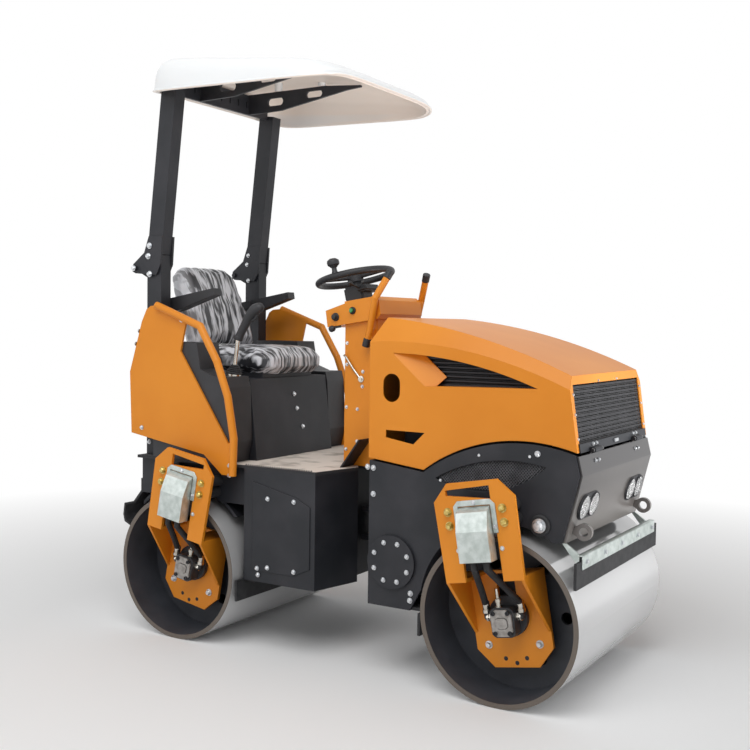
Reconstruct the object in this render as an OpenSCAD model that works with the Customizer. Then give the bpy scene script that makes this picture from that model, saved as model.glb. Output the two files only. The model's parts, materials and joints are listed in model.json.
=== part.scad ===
// Ride-on tandem road roller with two smooth drums, joined in the middle.
// Millimetres. X forward, Y to the left, Z up, origin on the ground under the steering pivot.

/* [Drums] */
// Diameter of both drums
drum_d = 600; // [580:5:620]
// Width of both drums
drum_w = 920; // [900:5:940]
// Distance between the two axles
wheelbase = 1465; // [1460:1:1475]
// Thickness of the drum shell
drum_wall = 18; // [12:1:24]
// How far the drum's web sits in from its rim
web_inset = 190; // [180:5:210]
// Thickness of the drum's web
web_t = 16; // [10:1:24]
// Radius of the stub shafts that carry the drums
axle_r = 45; // [40:1:50]

/* [Yokes] */
// Lean of the yokes towards the middle of the machine
yoke_lean = 10; // [8:0.5:12]
// Half width of a yoke plate at its shoulders
yoke_half = 155; // [145:1:165]
// Thickness of the yoke plates
yoke_t = 14; // [10:1:18]
// Gap between the drum's end and the yoke plate
yoke_gap = 28; // [16:1:34]
// Radius of the rubber buffers that carry a yoke
buffer_r = 22; // [16:1:26]

/* [Frames] */
// How far the frames' side plates stand in from the drum ends
frame_inset = 66; // [60:1:75]
// Thickness of the frame plates
plate_t = 12; // [8:1:16]
// Gap between the drums and their arches
arch_gap = 38; // [30:1:42]
// How far the front bulkhead stands ahead of the steering pivot
bulkhead_x = 170; // [170:1:180]
// Height of the operator's floor above the drums
floor_over = 151; // [145:1:165]
// How far the step box's front corner stands behind the steering pivot
step_x = 62; // [62:1:72]
// Radius of the steering pivot pin
pivot_r = 25; // [20:1:28]
// Radius of the holes in the tie-down lugs
lug_r = 16; // [12:1:18]

/* [Hood] */
// Thickness of the hood's skin
hood_t = 5; // [3:0.5:8]
// Height of the hood's rear shoulder above the drums
hood_over = 661; // [645:1:675]
// Slope of the hood's chamfer
hood_slope = 54.5; // [50:0.5:58]
// Lean of the front grille
grille_lean = 8.2; // [6:0.1:10]
// Spacing of the louvre bars
louvre_pitch = 16; // [13:0.5:20]

/* [Operator] */
// Thickness of the side panels
panel_t = 10; // [6:1:12]
// Radius of the rail on each side panel
rail_r = 16; // [12:1:20]
// Height of the seat base above the floor
seat_base_h = 339; // [320:1:360]
// Lean of the seat's back
back_lean = 21; // [17:1:25]
// Half width of the steering column
column_half = 150; // [130:1:160]
// Width of the dash box
dash_w = 340; // [320:2:350]
// Lean of the dash box
dash_lean = 8.6; // [5:0.1:12]
// Diameter of the steering wheel
wheel_d = 340; // [300:5:380]
// Lean of the steering wheel
wheel_lean = 13; // [8:0.5:20]

/* [Canopy] */
// Depth of a post along the machine
post_d = 80; // [70:1:90]
// Width of a post
post_w = 60; // [50:1:66]
// Height above the floor where the posts fold
fold_h = 859; // [840:1:880]
// Forward lean of the upper posts
post_lean = 6.4; // [5:0.1:7]
// Height of the canopy's crown above the floor
crown_h = 1661; // [1640:1:1690]
// Length of the canopy
canopy_l = 950; // [930:2:980]
// How far the canopy reaches past the drum ends on each side
canopy_over = 10; // [0:1:20]
// Thickness of the canopy's shell
canopy_t = 12; // [8:1:14]

/* [Hidden] */
$fn = 64;
ax = wheelbase / 2;
az = drum_d / 2;
half_w = drum_w / 2;
frame_half = half_w - frame_inset;
frame_w = 2 * frame_half;
hood_half = frame_half - 9;
step_half = frame_half + 21;
panel_half = frame_half + 41;
panel_in = panel_half - panel_t;
rail_y = panel_in + rail_r + 1;
tank_in = panel_in - 139;
seat_half = tank_in - 51;
post_y = frame_half - 54;
arch_r = az + arch_gap;
yoke_top = az + 198;
yoke_shelf = az / 2;
yoke_in = half_w + yoke_gap;
yoke_out = yoke_in + yoke_t;
flange_t = 14;
flange_y = half_w - 134;
web_y = half_w - web_inset;
hub_len = flange_y - web_y - 12;
bolt_u = yoke_half - 50;
bolt_w = [az + 98, az + 50];
frame_low = az - 30;
step_low = az - 15;
floor_t = 12;
floor_z = drum_d + floor_over;
floor_under = floor_z - floor_t;
step_rear = -ax + az + 22.5;
rear_end = -ax - az + 48;
pivot_z = az + 200;
cyl_z = az + 120;
cyl_y = 185;
cyl_rear = step_rear + 80;
cyl_front = 115;
cyl_len = cyl_front - cyl_rear;
nose_low = [ax + az - 82, drum_d - 9];
nose_bend = [ax + az - 26, drum_d + 224];
nose_top = [ax + az - 42, drum_d + 290];
nose_t = 8;
arch_c = [ax + 61, drum_d - 330];
arch_hood = 659;
hood_gap = 8;
well = 45;
hood_rear = bulkhead_x - 10;
hood_low = [ax - az - 35, drum_d + 196];
hood_heel = drum_d + 224;
hood_shoulder = drum_d + hood_over;
hood_mid = ax - 476;
hood_bow = 1643;
crest_r = 2361;
crest_c = [ax - 740, drum_d + 762 - crest_r];
grille_x = ax + az - 49;
grille_z = drum_d + 310;
hinge_x = ax + az - 33;
hinge_z = drum_d + 303;
hinge_pin_r = 5;
seat_z = floor_z + seat_base_h;
tank_rear = -ax - az + 138;
dash_x = -178;
dash_z = floor_z + 560;
wheel_c = [-155, 0, floor_z + 769];
fold_z = floor_z + fold_h;
crown_z = floor_z + crown_h;
post_x = -ax - az + 89;
fold_pin = [post_x - 99, fold_z - 56];
pin_r = 10;
plate_side = 10;
post_top = crown_z - 104;
canopy_c = -ax + 262;
rim_z = crown_z - 144;
canopy_fall = 0.115;
arm_y = post_y / 2;
arm_top = crown_z - 32;
arm_back = post_x + (post_top - fold_z) * tan(post_lean) + 6;
front_foot = ax - az - 80;
cover_r = 0.55 * (front_foot - bulkhead_x);

function dash_under(x) = dash_z + (x - dash_x) * tan(dash_lean);

module both_sides() {
    children();
    mirror([0, 1, 0]) children();
}

module side_plate(half, t) {
    translate([0, half, 0]) rotate([90, 0, 0]) linear_extrude(t) children();
}

module at_front() {
    translate([ax, 0, az]) children();
}

module at_rear() {
    mirror([1, 0, 0]) translate([ax, 0, az]) children();
}

module at_seat() {
    translate([-ax, 0, drum_d]) children();
}

module tube(a, b, r) {
    d = b - a;
    len = norm(d);
    translate(a) rotate([0, acos(d[2] / len), atan2(d[1], d[0])]) cylinder(r = r, h = len);
}

module pipe(points, r) {
    for (i = [0 : len(points) - 2]) tube(points[i], points[i + 1], r);
    for (i = [1 : len(points) - 2]) translate(points[i]) sphere(r = r + 0.4);
}

// Running gear: the drums, and the yokes with what hangs on them, all drawn about the axle.

module drum() {
    rotate([90, 0, 0]) difference() {
        rotate_extrude() {
            translate([az - drum_wall, -half_w]) square([drum_wall, drum_w]);
            for (s = [-1, 1])
                translate([axle_r + 0.05, s * (web_y - web_t / 2) - web_t / 2])
                    square([az - axle_r - drum_wall, web_t]);
            for (s = [-1, 1])
                translate([axle_r + 0.05, s * (web_y + hub_len / 2 - web_t / 2) - hub_len / 2 - web_t / 2])
                    square([30, hub_len + web_t]);
        }
        for (s = [-1, 1], a = [0 : 60 : 300])
            rotate(a) translate([0.62 * az, 0, s * web_y - 40]) cylinder(r = 22, h = 80);
    }
}

module yoke_face() {
    difference() {
        polygon([[-yoke_half + 58, yoke_top], [yoke_half - 58, yoke_top], [yoke_half, yoke_top - 62],
                 [yoke_half - 6, yoke_shelf], [-yoke_half + 6, yoke_shelf], [-yoke_half, yoke_top - 62]]);
        translate([83 - yoke_half, yoke_shelf - 1]) square([2 * yoke_half - 166, az + 30 - yoke_shelf]);
        polygon([[-yoke_half + 50, yoke_top - 24], [yoke_half - 90, yoke_top - 19],
                 [yoke_half - 90, yoke_top - 66], [-yoke_half + 50, yoke_top - 43]]);
    }
}

module yoke_flange() {
    h = yoke_half - 7;
    difference() {
        polygon([[-h, yoke_shelf], [h, yoke_shelf], [h, -0.4 * az], [h - 61, -0.62 * az],
                 [61 - h, -0.62 * az], [-h, -0.4 * az]]);
        circle(r = axle_r + 17);
        translate([-35, 0]) square([70, yoke_shelf + 5]);
    }
}

module yoke_gusset(u) {
    y = flange_y + flange_t;
    translate([u + 6, 0, 0]) rotate([0, -90, 0]) linear_extrude(12)
        polygon([[yoke_shelf, y], [yoke_shelf, yoke_out], [-0.2 * az, y]]);
}

module yokes() {
    both_sides() rotate([0, -yoke_lean, 0]) {
        side_plate(yoke_out, yoke_t) yoke_face();
        side_plate(flange_y + flange_t, flange_t) yoke_flange();
        difference() {
            translate([6 - yoke_half, flange_y, yoke_shelf])
                cube([2 * yoke_half - 12, yoke_out - flange_y, 12]);
            translate([83 - yoke_half, flange_y + flange_t, yoke_shelf - 1])
                cube([2 * yoke_half - 166, yoke_out - flange_y, 14]);
        }
        yoke_gusset(yoke_half - 12);
        yoke_gusset(12 - yoke_half);
    }
}

module buffers() {
    both_sides() rotate([0, -yoke_lean, 0])
        for (u = [-bolt_u, bolt_u], w = bolt_w)
            translate([u, frame_half, w]) rotate([-90, 0, 0])
                cylinder(r = buffer_r, h = yoke_in - frame_half);
}

module hose_covers() {
    rim = [[112, 0], [95, 30], [30, 50], [-75, 50]];
    both_sides() rotate([0, -yoke_lean, 0]) translate([60, yoke_out, az]) rotate([0, -90, 0]) {
        linear_extrude(120) polygon(concat(rim, [[-75, 46], [29, 46], [92, 27], [108, 0]]));
        for (u = [0, 116]) translate([0, 0, u]) linear_extrude(4) polygon(concat(rim, [[-75, 0]]));
    }
}

module motors() {
    both_sides() rotate([0, -yoke_lean, 0]) rotate([-90, 0, 0]) {
        translate([0, 0, web_y - web_t - 4]) cylinder(r = axle_r, h = flange_y - web_y + web_t + 4);
        translate([0, 0, flange_y]) cylinder(r = axle_r + 16.7, h = flange_t);
        translate([0, 0, flange_y + flange_t]) cylinder(r = axle_r + 29, h = 20);
        translate([0, 12, flange_y + flange_t + 20]) intersection() {
            translate([-45, -52, 0]) cube([90, 104, 50]);
            cylinder(r = 60, h = 50);
        }
    }
}

module hoses() {
    y = flange_y + flange_t + 45;
    both_sides() rotate([0, -yoke_lean, 0]) for (s = [-1, 1])
        pipe([[s * 45.2, y, 5], [s * 66, y, 5], [s * 68, y, 52], [s * 50, y + 52, 110],
              [s * 24, yoke_out + 16, 195], [s * 22, yoke_out + 22, az]], 12);
}

module outer_blade() {
    tip = sqrt(az * az - 150 * 150) + 10;
    side_plate(frame_half, frame_w)
        polygon([[az - 48, az - 15], [az - 48, az + 45], [az - 40, az + 45], [az - 40, az - 8],
                 [az + 4, az - 60], [az - 4, az - 68]]);
    side_plate(half_w - 10, drum_w - 20)
        polygon([[az - 4, az - 68], [az + 4, az - 60], [az + 11, az - 110], [az + 3, az - 140],
                 [tip + 2, 146], [tip, 154], [az - 6, az - 134], [az + 2, az - 110]]);
}

module lug_face(c) {
    difference() {
        union() {
            translate(c) circle(r = lug_r + 14);
            children();
        }
        translate(c) circle(r = lug_r);
    }
}

// Rear frame: the root that carries the operator.

module step_plan(d) {
    polygon([[step_rear + d, d - step_half], [-step_x - d, d - step_half], [-10 - d, -185], [-70 - d, -100],
             [-70 - d, 100], [-10 - d, 185], [-step_x - d, step_half - d], [step_rear + d, step_half - d]]);
}

module rear_chassis() {
    low = drum_d - 15;
    color("#2a2b2d") {
        difference() {
            union() {
                both_sides() side_plate(frame_half, plate_t)
                    translate([rear_end, low]) square([step_rear + 2 - rear_end, floor_under - low]);
                translate([rear_end, -frame_half, low]) cube([plate_t, frame_w, floor_under - low]);
            }
            at_rear() rotate([90, 0, 0]) cylinder(r = arch_r, h = frame_w + 2, center = true);
        }
        intersection() {
            at_rear() rotate([90, 0, 0]) difference() {
                cylinder(r = arch_r + plate_t, h = frame_w - plate_t, center = true);
                cylinder(r = arch_r, h = frame_w, center = true);
            }
            translate([rear_end + 2, -frame_half, drum_d - 70])
                cube([step_rear - rear_end, frame_w, arch_r]);
        }
        difference() {
            translate([0, 0, step_low]) linear_extrude(floor_under - step_low) step_plan(0);
            translate([0, 0, step_low + plate_t]) linear_extrude(floor_z) step_plan(plate_t);
            translate([-120, cyl_y - 75, cyl_z - 48]) cube([130, 150, 96]);
        }
        for (z = [pivot_z - 70, pivot_z + 50]) translate([0, 0, z]) {
            translate([-72, -60, 0]) cube([72, 120, 20]);
            cylinder(r = 60, h = 20);
        }
        translate([0, 0, pivot_z - 70]) cylinder(r = pivot_r, h = 140);
        translate([cyl_rear, cyl_y, step_low + plate_t - 1]) {
            cylinder(r = 12, h = cyl_z + 27 - step_low - plate_t);
            cylinder(r = 36, h = cyl_z - 16 - step_low - plate_t);
        }
    }
}

module floor_plate() {
    color("#b9b7ae") translate([0, 0, floor_under]) linear_extrude(floor_t) {
        step_plan(0);
        translate([rear_end, -panel_in]) square([step_rear - 35 - rear_end, 2 * panel_in]);
        translate([step_rear - 50, -step_half]) square([60, 2 * step_half]);
        translate([-100, 10 - column_half]) square([160, 2 * column_half - 20]);
    }
}

module seat_base() {
    rear = tank_rear + 10;
    color("#26272a") {
        difference() {
            side_plate(tank_in - 6, 2 * tank_in - 12)
                polygon([[rear, floor_z], [-ax + 282, floor_z], [-ax + 242, seat_z], [rear, seat_z]]);
            translate([rear + 12, 18 - tank_in, floor_z - 1])
                cube([-ax + 212 - rear, 2 * tank_in - 36, seat_base_h - 11]);
        }
        translate([-ax - 98, 55 - seat_half, seat_z - 2]) cube([330, 2 * seat_half - 110, 32]);
    }
}

module seat_cushion() {
    color("#1b1c1e") translate([-ax - 138, 0, seat_z + 30]) linear_extrude(95) {
        translate([0, -seat_half]) square([390, 2 * seat_half]);
        translate([0, 50 - seat_half]) square([440, 2 * seat_half - 100]);
        for (s = [-1, 1]) translate([390, s * (seat_half - 50)]) circle(r = 50);
    }
}

module seat_back() {
    color("#1b1c1e") difference() {
        translate([-ax - 128, 0, seat_z + 120]) rotate([0, -back_lean, 0]) translate([-45, 0, -40])
            rotate([90, 0, 90]) linear_extrude(90) {
                translate([-seat_half, 0]) square([2 * seat_half, 300]);
                translate([-seat_half + 35, 0]) square([2 * seat_half - 70, 450]);
                polygon([[-seat_half, 300], [seat_half, 300], [seat_half - 35, 420], [35 - seat_half, 420]]);
            }
        translate([-ax - 450, -2 * seat_half, seat_z - 100]) cube([800, 4 * seat_half, 225]);
    }
}

module armrests() {
    color("#1b1c1e") both_sides() translate([-ax - 238, seat_half, seat_z + 290]) rotate([0, -10, 0]) {
        side_plate(58, 50) polygon([[0, 0], [30, -26], [110, -20], [300, 8], [300, 38], [0, 38]]);
        translate([20, 0, 2]) cube([60, 20, 34]);
    }
}

rail_line = [[-130, 793], [110, 708], [199, 568], [257, 425], [289, 257], [284, 106]];

module panel_face() {
    difference() {
        polygon(concat([[-278, 246], [-288, 508], [-220, 724], [-193, 776], [-170, 790]], rail_line,
                       [[222, 105], [127, 181]]));
        polygon([[26, 725], [-3, 602], [253, 235], [313, 257], [283, 425], [225, 575], [123, 738]]);
    }
}

module side_panels() {
    color("#e08a34") both_sides() at_seat() {
        side_plate(panel_half, panel_t) panel_face();
        pipe([for (p = rail_line) [p[0], rail_y, p[1]]], rail_r);
    }
}

module side_tanks() {
    rear = tank_rear + ax;
    color("#232426") both_sides() at_seat() side_plate(panel_in, panel_in - tank_in)
        polygon([[rear, floor_over], [rear, 640], [77, 640], [97, 530], [170, 504], [238, 504], [250, 460],
                 [262, 240], [242, floor_over]]);
}

module post_stubs() {
    color("#232426") both_sides() {
        translate([post_x - post_d / 2, post_y - post_w / 2 + 0.3, floor_z])
            cube([post_d, post_w - 0.6, fold_z - floor_z]);
        translate([0, post_y + post_w / 2 - 0.3, 0]) rotate([90, 0, 0]) linear_extrude(post_w - 0.6) {
            translate(fold_pin) circle(r = 20);
            polygon([fold_pin + [-20, 0], fold_pin + [0, 20], [post_x, fold_pin[1] + 20],
                     [post_x, fold_pin[1] - 60]]);
        }
        translate([fold_pin[0], post_y, fold_pin[1]]) rotate([90, 0, 0])
            cylinder(r = pin_r - 0.05, h = post_w + 2 * plate_side + 24, center = true);
    }
}

lever_foot = [204, 54 - tank_in - 108, 504];
lever_neck = lever_foot + [23, 0, 163];

module travel_lever() {
    color("#c9cacc") at_seat() {
        translate(lever_foot) cylinder(r = 30, h = 16);
        tube(lever_foot + [0, 0, 10], lever_neck, 9);
    }
}

module lever_grip() {
    color("#1b1c1e") at_seat() difference() {
        union() {
            tube(lever_neck, lever_neck + [85, 0, 103], 16);
            translate(lever_neck + [85, 0, 103]) sphere(r = 24);
            translate(lever_neck) sphere(r = 16.5);
        }
        tube(lever_foot + [0, 0, 10], lever_neck, 9.3);
        translate(lever_neck) sphere(r = 10);
    }
}

module steering_column() {
    color("#e08a34") difference() {
        side_plate(column_half, 2 * column_half)
            polygon([[-104, floor_z], [50, floor_z], [50, dash_under(50)], [-104, dash_under(-104)]]);
        translate([-98, 6 - column_half, floor_z - 1]) cube([142, 2 * column_half - 12, dash_z - floor_z]);
    }
}

module at_dash() {
    translate([dash_x, 0, dash_z]) rotate([0, -dash_lean, 0]) children();
}

module dash_box() {
    color("#e08a34") at_dash() side_plate(dash_w / 2, dash_w)
        polygon([[0, 0], [240, 0], [258, 18], [258, 74], [240, 92], [96, 92], [96, 84], [0, 68]]);
}

module dash_switches() {
    color("#1b1c1e") {
        at_dash() for (p = [[45, 36, 12, 14], [130, 50, 11, 10]])
            translate([p[0], -dash_w / 2, p[1]]) rotate([90, 0, 0]) cylinder(r = p[2], h = p[3]);
        difference() {
            translate(wheel_c) rotate([0, -wheel_lean, 0]) translate([0, 0, -140])
                cylinder(r = 22, h = 119.7);
            at_dash() side_plate(dash_w / 2, dash_w)
                polygon([[-80, -60], [400, -60], [400, 92], [96, 92], [96, 84], [0, 68], [-80, 56]]);
        }
    }
}

module grab_handles() {
    y = column_half + 28;
    z = floor_z + 490;
    color("#e08a34") both_sides() {
        pipe([[13, y, z], [32, y + 4, z + 55], [60, y + 12, z + 188], [105, y - 28, z + 293]], 14);
        translate([18, column_half, z + 25]) cube([24, 32, 40]);
    }
}

module toe_plates() {
    color("#2a2b2d") both_sides() side_plate(column_half + 90, 90)
        polygon([[-65, floor_z], [-57, floor_z], [24, floor_z + 110], [21, floor_z + 117]]);
}

module rear_yokes() { color("#e08a34") at_rear() yokes(); }
module rear_buffers() { color("#1b1c1e") at_rear() buffers(); }
module rear_hose_covers() { color("#a9adb0") at_rear() hose_covers(); }
module rear_motors() { color("#4a4d50") at_rear() motors(); }
module rear_hoses() { color("#1b1c1e") at_rear() hoses(); }

module rear_scrapers() {
    blade = -ax + az + 6;
    color("#1b1c1e") {
        translate([blade, 10 - half_w, step_low - 85]) cube([10, drum_w - 20, 85]);
        translate([blade, 20 - step_half, step_low - 12]) cube([60, 2 * step_half - 40, 12]);
        at_rear() outer_blade();
    }
}

module rear_lugs() {
    c = [rear_end - 30, drum_d + 90];
    color("#2a2b2d") both_sides() side_plate(frame_half - 120, 16)
        lug_face(c) translate(c - [0, 30]) square([30, 60]);
}

// Mast: folds back about the pins at the foot of the upper posts.

module upper_posts() {
    len = (post_top - fold_z) / cos(post_lean);
    color("#232426") both_sides() difference() {
        translate([post_x, post_y, fold_z]) rotate([0, post_lean, 0])
            translate([-post_d / 2, -post_w / 2, -30]) cube([post_d, post_w, len + 30]);
        translate([post_x - 2 * post_d, post_y - post_w, fold_z - 100]) cube([4 * post_d, 2 * post_w, 102]);
    }
}

module mast_plates() {
    color("#232426") both_sides() for (y = [post_y - post_w / 2, post_y + post_w / 2 + plate_side])
        side_plate(y, plate_side) difference() {
            polygon([fold_pin + [-18, -14], fold_pin + [0, -22], [post_x + 20, fold_pin[1] - 30],
                     [post_x + 44, fold_z - 40], [post_x + 52, fold_z + 80], [post_x - 24, fold_z + 80],
                     [post_x - 50, fold_z + 10], fold_pin + [-14, 18]]);
            translate(fold_pin) circle(r = pin_r);
        }
}

module slot(l, h) {
    r = h / 2;
    polygon([for (a = [-90 : 15 : 270]) [r * cos(a) + sign(round(cos(a) * 9)) * (l / 2 - r), r * sin(a)]]);
}

module arm_face() {
    c = canopy_c;
    low = arm_top - 90;
    difference() {
        polygon([[arm_back, low], [c - 202, low + 4], [c + 151, arm_top - 30], [c + 226, arm_top - 24],
                 [c + 226, arm_top - 16], [c + 40, arm_top], [arm_back, arm_top]]);
        translate([c - 235, arm_top - 44]) slot(88, 36);
        translate([c - 20, arm_top - 30]) slot(87, 30);
    }
}

module canopy_frame() {
    w = 2 * post_y - post_w;
    color("#232426") {
        difference() {
            translate([arm_back - 12, -w / 2, arm_top - 90]) cube([12, w, 90]);
            for (s = [-1, 1], y = [30 : 60 : 240])
                translate([arm_back - 20, s * y - 4, arm_top - 60]) cube([30, 8, 30]);
        }
        both_sides() side_plate(arm_y + 6, 12) arm_face();
    }
}

canopy_n = 44;
canopy_rings = [[1, 0, 0], [0.99, 0.45, 0], [0.955, 0.86, 0], [0.9, 1, 0.2], [0.7, 1, 0.7], [0.4, 1, 0.93]];

function bow(v) = sign(v) * pow(abs(v), 0.3);
function rim_at(u, x) = rim_z - 0.025 * (x - canopy_c) + 26 * pow(abs(cos(u)), 3);
function brow_at(x) = crown_z - 44 - canopy_fall * (x - canopy_c);
function canopy_point(k, u, t) = let (
    r = canopy_rings[k],
    x = canopy_c + (canopy_l / 2 * r[0] - t) * bow(cos(u)),
    low = rim_at(u, x)
) [
    x,
    ((half_w + canopy_over) * r[0] - t) * bow(sin(u)),
    low + (k == 0 ? 0 : (brow_at(x) - low) * r[1] + 44 * r[2] - t)
];

module canopy_shell() {
    n = canopy_n;
    k = len(canopy_rings);
    m = k * n;
    out = [for (j = [0 : k - 1], i = [0 : n - 1]) canopy_point(j, 360 * (i + 0.5) / n, 0)];
    in = [for (j = [0 : k - 1], i = [0 : n - 1]) canopy_point(j, 360 * (i + 0.5) / n, canopy_t)];
    tips = [[canopy_c, 0, crown_z], [canopy_c, 0, crown_z - canopy_t]];
    ring = [for (i = [0 : n - 1]) [i, (i + 1) % n]];
    polyhedron(concat(out, in, tips), concat(
        [for (j = [0 : n : m - 2 * n], e = ring) [j + e[0], j + n + e[0], j + e[1]]],
        [for (j = [0 : n : m - 2 * n], e = ring) [j + e[1], j + n + e[0], j + n + e[1]]],
        [for (e = ring) [m - n + e[0], 2 * m, m - n + e[1]]],
        [for (j = [m : n : 2 * m - 2 * n], e = ring) [j + e[0], j + e[1], j + n + e[0]]],
        [for (j = [m : n : 2 * m - 2 * n], e = ring) [j + e[1], j + n + e[1], j + n + e[0]]],
        [for (e = ring) [2 * m - n + e[0], 2 * m - n + e[1], 2 * m + 1]],
        [for (e = ring) [e[0], e[1], m + e[0]]],
        [for (e = ring) [e[1], m + e[1], m + e[0]]]));
}

module canopy() {
    color("#eceae2") {
        canopy_shell();
        for (x = [-220, 20], y = [-arm_y, arm_y])
            translate([canopy_c + x, y, arm_top])
                cylinder(r = 18, h = brow_at(canopy_c + x) + 33 - arm_top);
    }
}

module steering_wheel() {
    color("#1b1c1e") translate(wheel_c) rotate([0, -wheel_lean, 0]) {
        rotate_extrude() translate([wheel_d / 2 - 14, 0]) circle(r = 14);
        for (a = [0 : 120 : 240]) rotate(a) tube([20, 0, 0], [wheel_d / 2 - 14, 0, 0], 9);
        translate([0, 0, -20]) cylinder(r = 34, h = 34);
        translate([0, 20 - wheel_d / 2, 10]) cylinder(r = 10, h = 34);
        translate([0, 20 - wheel_d / 2, 52]) sphere(r = 20);
    }
}

// Front frame: turns about the steering pivot.

module front_face() {
    difference() {
        intersection() {
            union() {
                polygon([[bulkhead_x, frame_low], [bulkhead_x, hood_heel - hood_gap],
                         hood_low - [0, hood_gap], [hood_low[0] + 120, drum_d - 30],
                         [front_foot, frame_low]]);
                intersection() {
                    translate(arch_c) circle(r = arch_hood - hood_gap, $fn = 200);
                    translate([hood_low[0], frame_low]) square([700, 700]);
                }
            }
            polygon([[0, 0], [0, 2 * drum_d], [ax, 2 * drum_d], nose_top - [nose_t, 0],
                     nose_bend - [nose_t, 0], nose_low - [nose_t, 0], nose_low - [60, 4], [ax, az]]);
        }
        translate([ax, az]) circle(r = arch_r, $fn = 128);
    }
}

module mesh_face(d) {
    intersection() {
        translate([ax + 24, drum_d - 330]) circle(r = 588 + d, $fn = 200);
        translate([ax - 122, drum_d + 530]) circle(r = 392 + d, $fn = 200);
    }
}

module front_chassis() {
    color("#2a2b2d") {
        both_sides() side_plate(frame_half, plate_t) difference() {
            front_face();
            mesh_face(0);
        }
        translate([bulkhead_x, -frame_half, frame_low])
            cube([plate_t, frame_w, hood_heel - hood_gap - frame_low]);
        translate([bulkhead_x, -frame_half, frame_low]) cube([front_foot - bulkhead_x, frame_w, plate_t]);
        intersection() {
            at_front() rotate([90, 0, 0]) difference() {
                cylinder(r = arch_r + plate_t, h = frame_w - plate_t, center = true, $fn = 128);
                cylinder(r = arch_r, h = frame_w, center = true, $fn = 128);
            }
            side_plate(frame_half, frame_w) front_face();
        }
        translate([cyl_front - 30, cyl_y - 35, cyl_z - 25]) cube([bulkhead_x + 1 - cyl_front + 30, 72, 8]);
    }
}

module arch_meshes() {
    color("#1b1c1e") both_sides() side_plate(frame_half - plate_t, 6) mesh_face(8);
}

module tank_covers() {
    color("#2a2b2d") both_sides() translate([bulkhead_x + 1.03 * cover_r, frame_half, frame_low + 172])
        rotate([-90, 0, 0]) cylinder(r = cover_r, h = 12);
}

module lamp_places() {
    mid = (nose_low + nose_bend) / 2;
    lean = atan2(nose_bend[0] - nose_low[0], nose_bend[1] - nose_low[1]);
    for (s = [-1, 1], d = [79, 171]) translate([mid[0], s * (hood_half - d), mid[1]])
        rotate([0, 90 + lean, 0]) children();
}

module nose_panel() {
    back = [nose_t, 0];
    color("#33363a") difference() {
        side_plate(hood_half, 2 * hood_half)
            polygon([nose_low, nose_bend, nose_top, nose_top - back, nose_bend - back, nose_low - back]);
        lamp_places() cylinder(r = 45.3, h = 60, center = true);
    }
}

module head_lamps() {
    color("#e9edf0") lamp_places() {
        translate([0, 0, -30]) cylinder(r = 45, h = 38);
        translate([0, 0, -40]) cube([60, 60, 20.1], center = true);
    }
}

module engine() {
    z = az + arch_r + plate_t + 2;
    w = 2 * hood_half - 270;
    color("#3a3c3f") {
        translate([bulkhead_x + 70, -w / 2, z]) cube([ax + 37 - bulkhead_x, w, 380]);
        for (x = [bulkhead_x + plate_t, ax - 30])
            translate([x, plate_t - frame_half, z]) cube([60, frame_w - 2 * plate_t, 40]);
        translate([bulkhead_x + plate_t, -w / 2, z]) cube([70, w, 40]);
    }
}

module front_yokes() { color("#e08a34") at_front() yokes(); }
module front_buffers() { color("#1b1c1e") at_front() buffers(); }
module front_hose_covers() { color("#a9adb0") at_front() hose_covers(); }
module front_motors() { color("#4a4d50") at_front() motors(); }
module front_hoses() { color("#1b1c1e") at_front() hoses(); }

module scraper_bracket() {
    bar = ax + az - 32;
    foot = nose_low - [nose_t, 0];
    color("#a9adb0") {
        translate([bar, 60 - half_w, az + 210]) cube([6, drum_w - 120, 50]);
        both_sides() side_plate(hood_half - 5, 10)
            polygon([foot - [8, 0], foot + [5, 0], [bar + 6, az + 250], [bar, az + 210],
                     [bar - 6, az + 215]]);
    }
}

module front_scrapers() {
    blade = ax - az - 16;
    color("#1b1c1e") {
        translate([ax + az - 26, 10 - half_w, az + 150]) cube([10, drum_w - 20, 90]);
        translate([blade, 10 - half_w, frame_low - 70]) cube([10, drum_w - 20, 82]);
        translate([front_foot, plate_t - frame_half, frame_low]) cube([74, frame_w - 2 * plate_t, 12]);
    }
}

module front_lugs() {
    base = nose_low + (nose_bend - nose_low) * 0.12;
    c = base + [40, 8];
    color("#33363a") both_sides() side_plate(hood_half - 44, 16)
        lug_face(c) polygon([base, c + [0, -lug_r - 14], c + [0, lug_r + 14],
                             nose_low + (nose_bend - nose_low) * 0.22]);
}

module centre_joint() {
    color("#4a4d50") difference() {
        union() {
            translate([0, 0, pivot_z - 45]) cylinder(r = 55, h = 90);
            translate([0, -45, pivot_z - 45]) cube([bulkhead_x, 90, 90]);
            translate([bulkhead_x - 20, -120, pivot_z - 90]) cube([20, 240, 180]);
        }
        translate([0, 0, pivot_z - 100]) cylinder(r = pivot_r + 0.05, h = 200);
    }
}

module hinge_ears() {
    foot = nose_top - [nose_t / 2, 0];
    color("#33363a") both_sides() {
        for (y = [hood_half - 105, hood_half - 195]) side_plate(y, 10) {
            translate([hinge_x, hinge_z]) circle(r = 7);
            polygon([foot, nose_top, [hinge_x + 7, hinge_z], [hinge_x + 1, hinge_z + 6]]);
        }
        translate([hinge_x, hood_half - 105, hinge_z]) rotate([90, 0, 0])
            cylinder(r = hinge_pin_r - 0.05, h = 100);
    }
}

// Hood: tilts forward about its front hinges.

module hood_profile(d) {
    slope = tan(grille_lean);
    high = hood_shoulder + 239;
    drop = d > 0 ? 60 : 0;
    intersection() {
        translate(crest_c) circle(r = crest_r - d, $fn = 400);
        polygon([[hood_rear + d, hood_heel - drop], [hood_rear + d, hood_shoulder],
                 [hood_rear + d + 101, high], [grille_x - d - slope * (high - grille_z), high],
                 [grille_x - d + slope * 11, grille_z - 11], [arch_c[0], drum_d + 100],
                 hood_low - [0, drop]]);
    }
}

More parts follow.
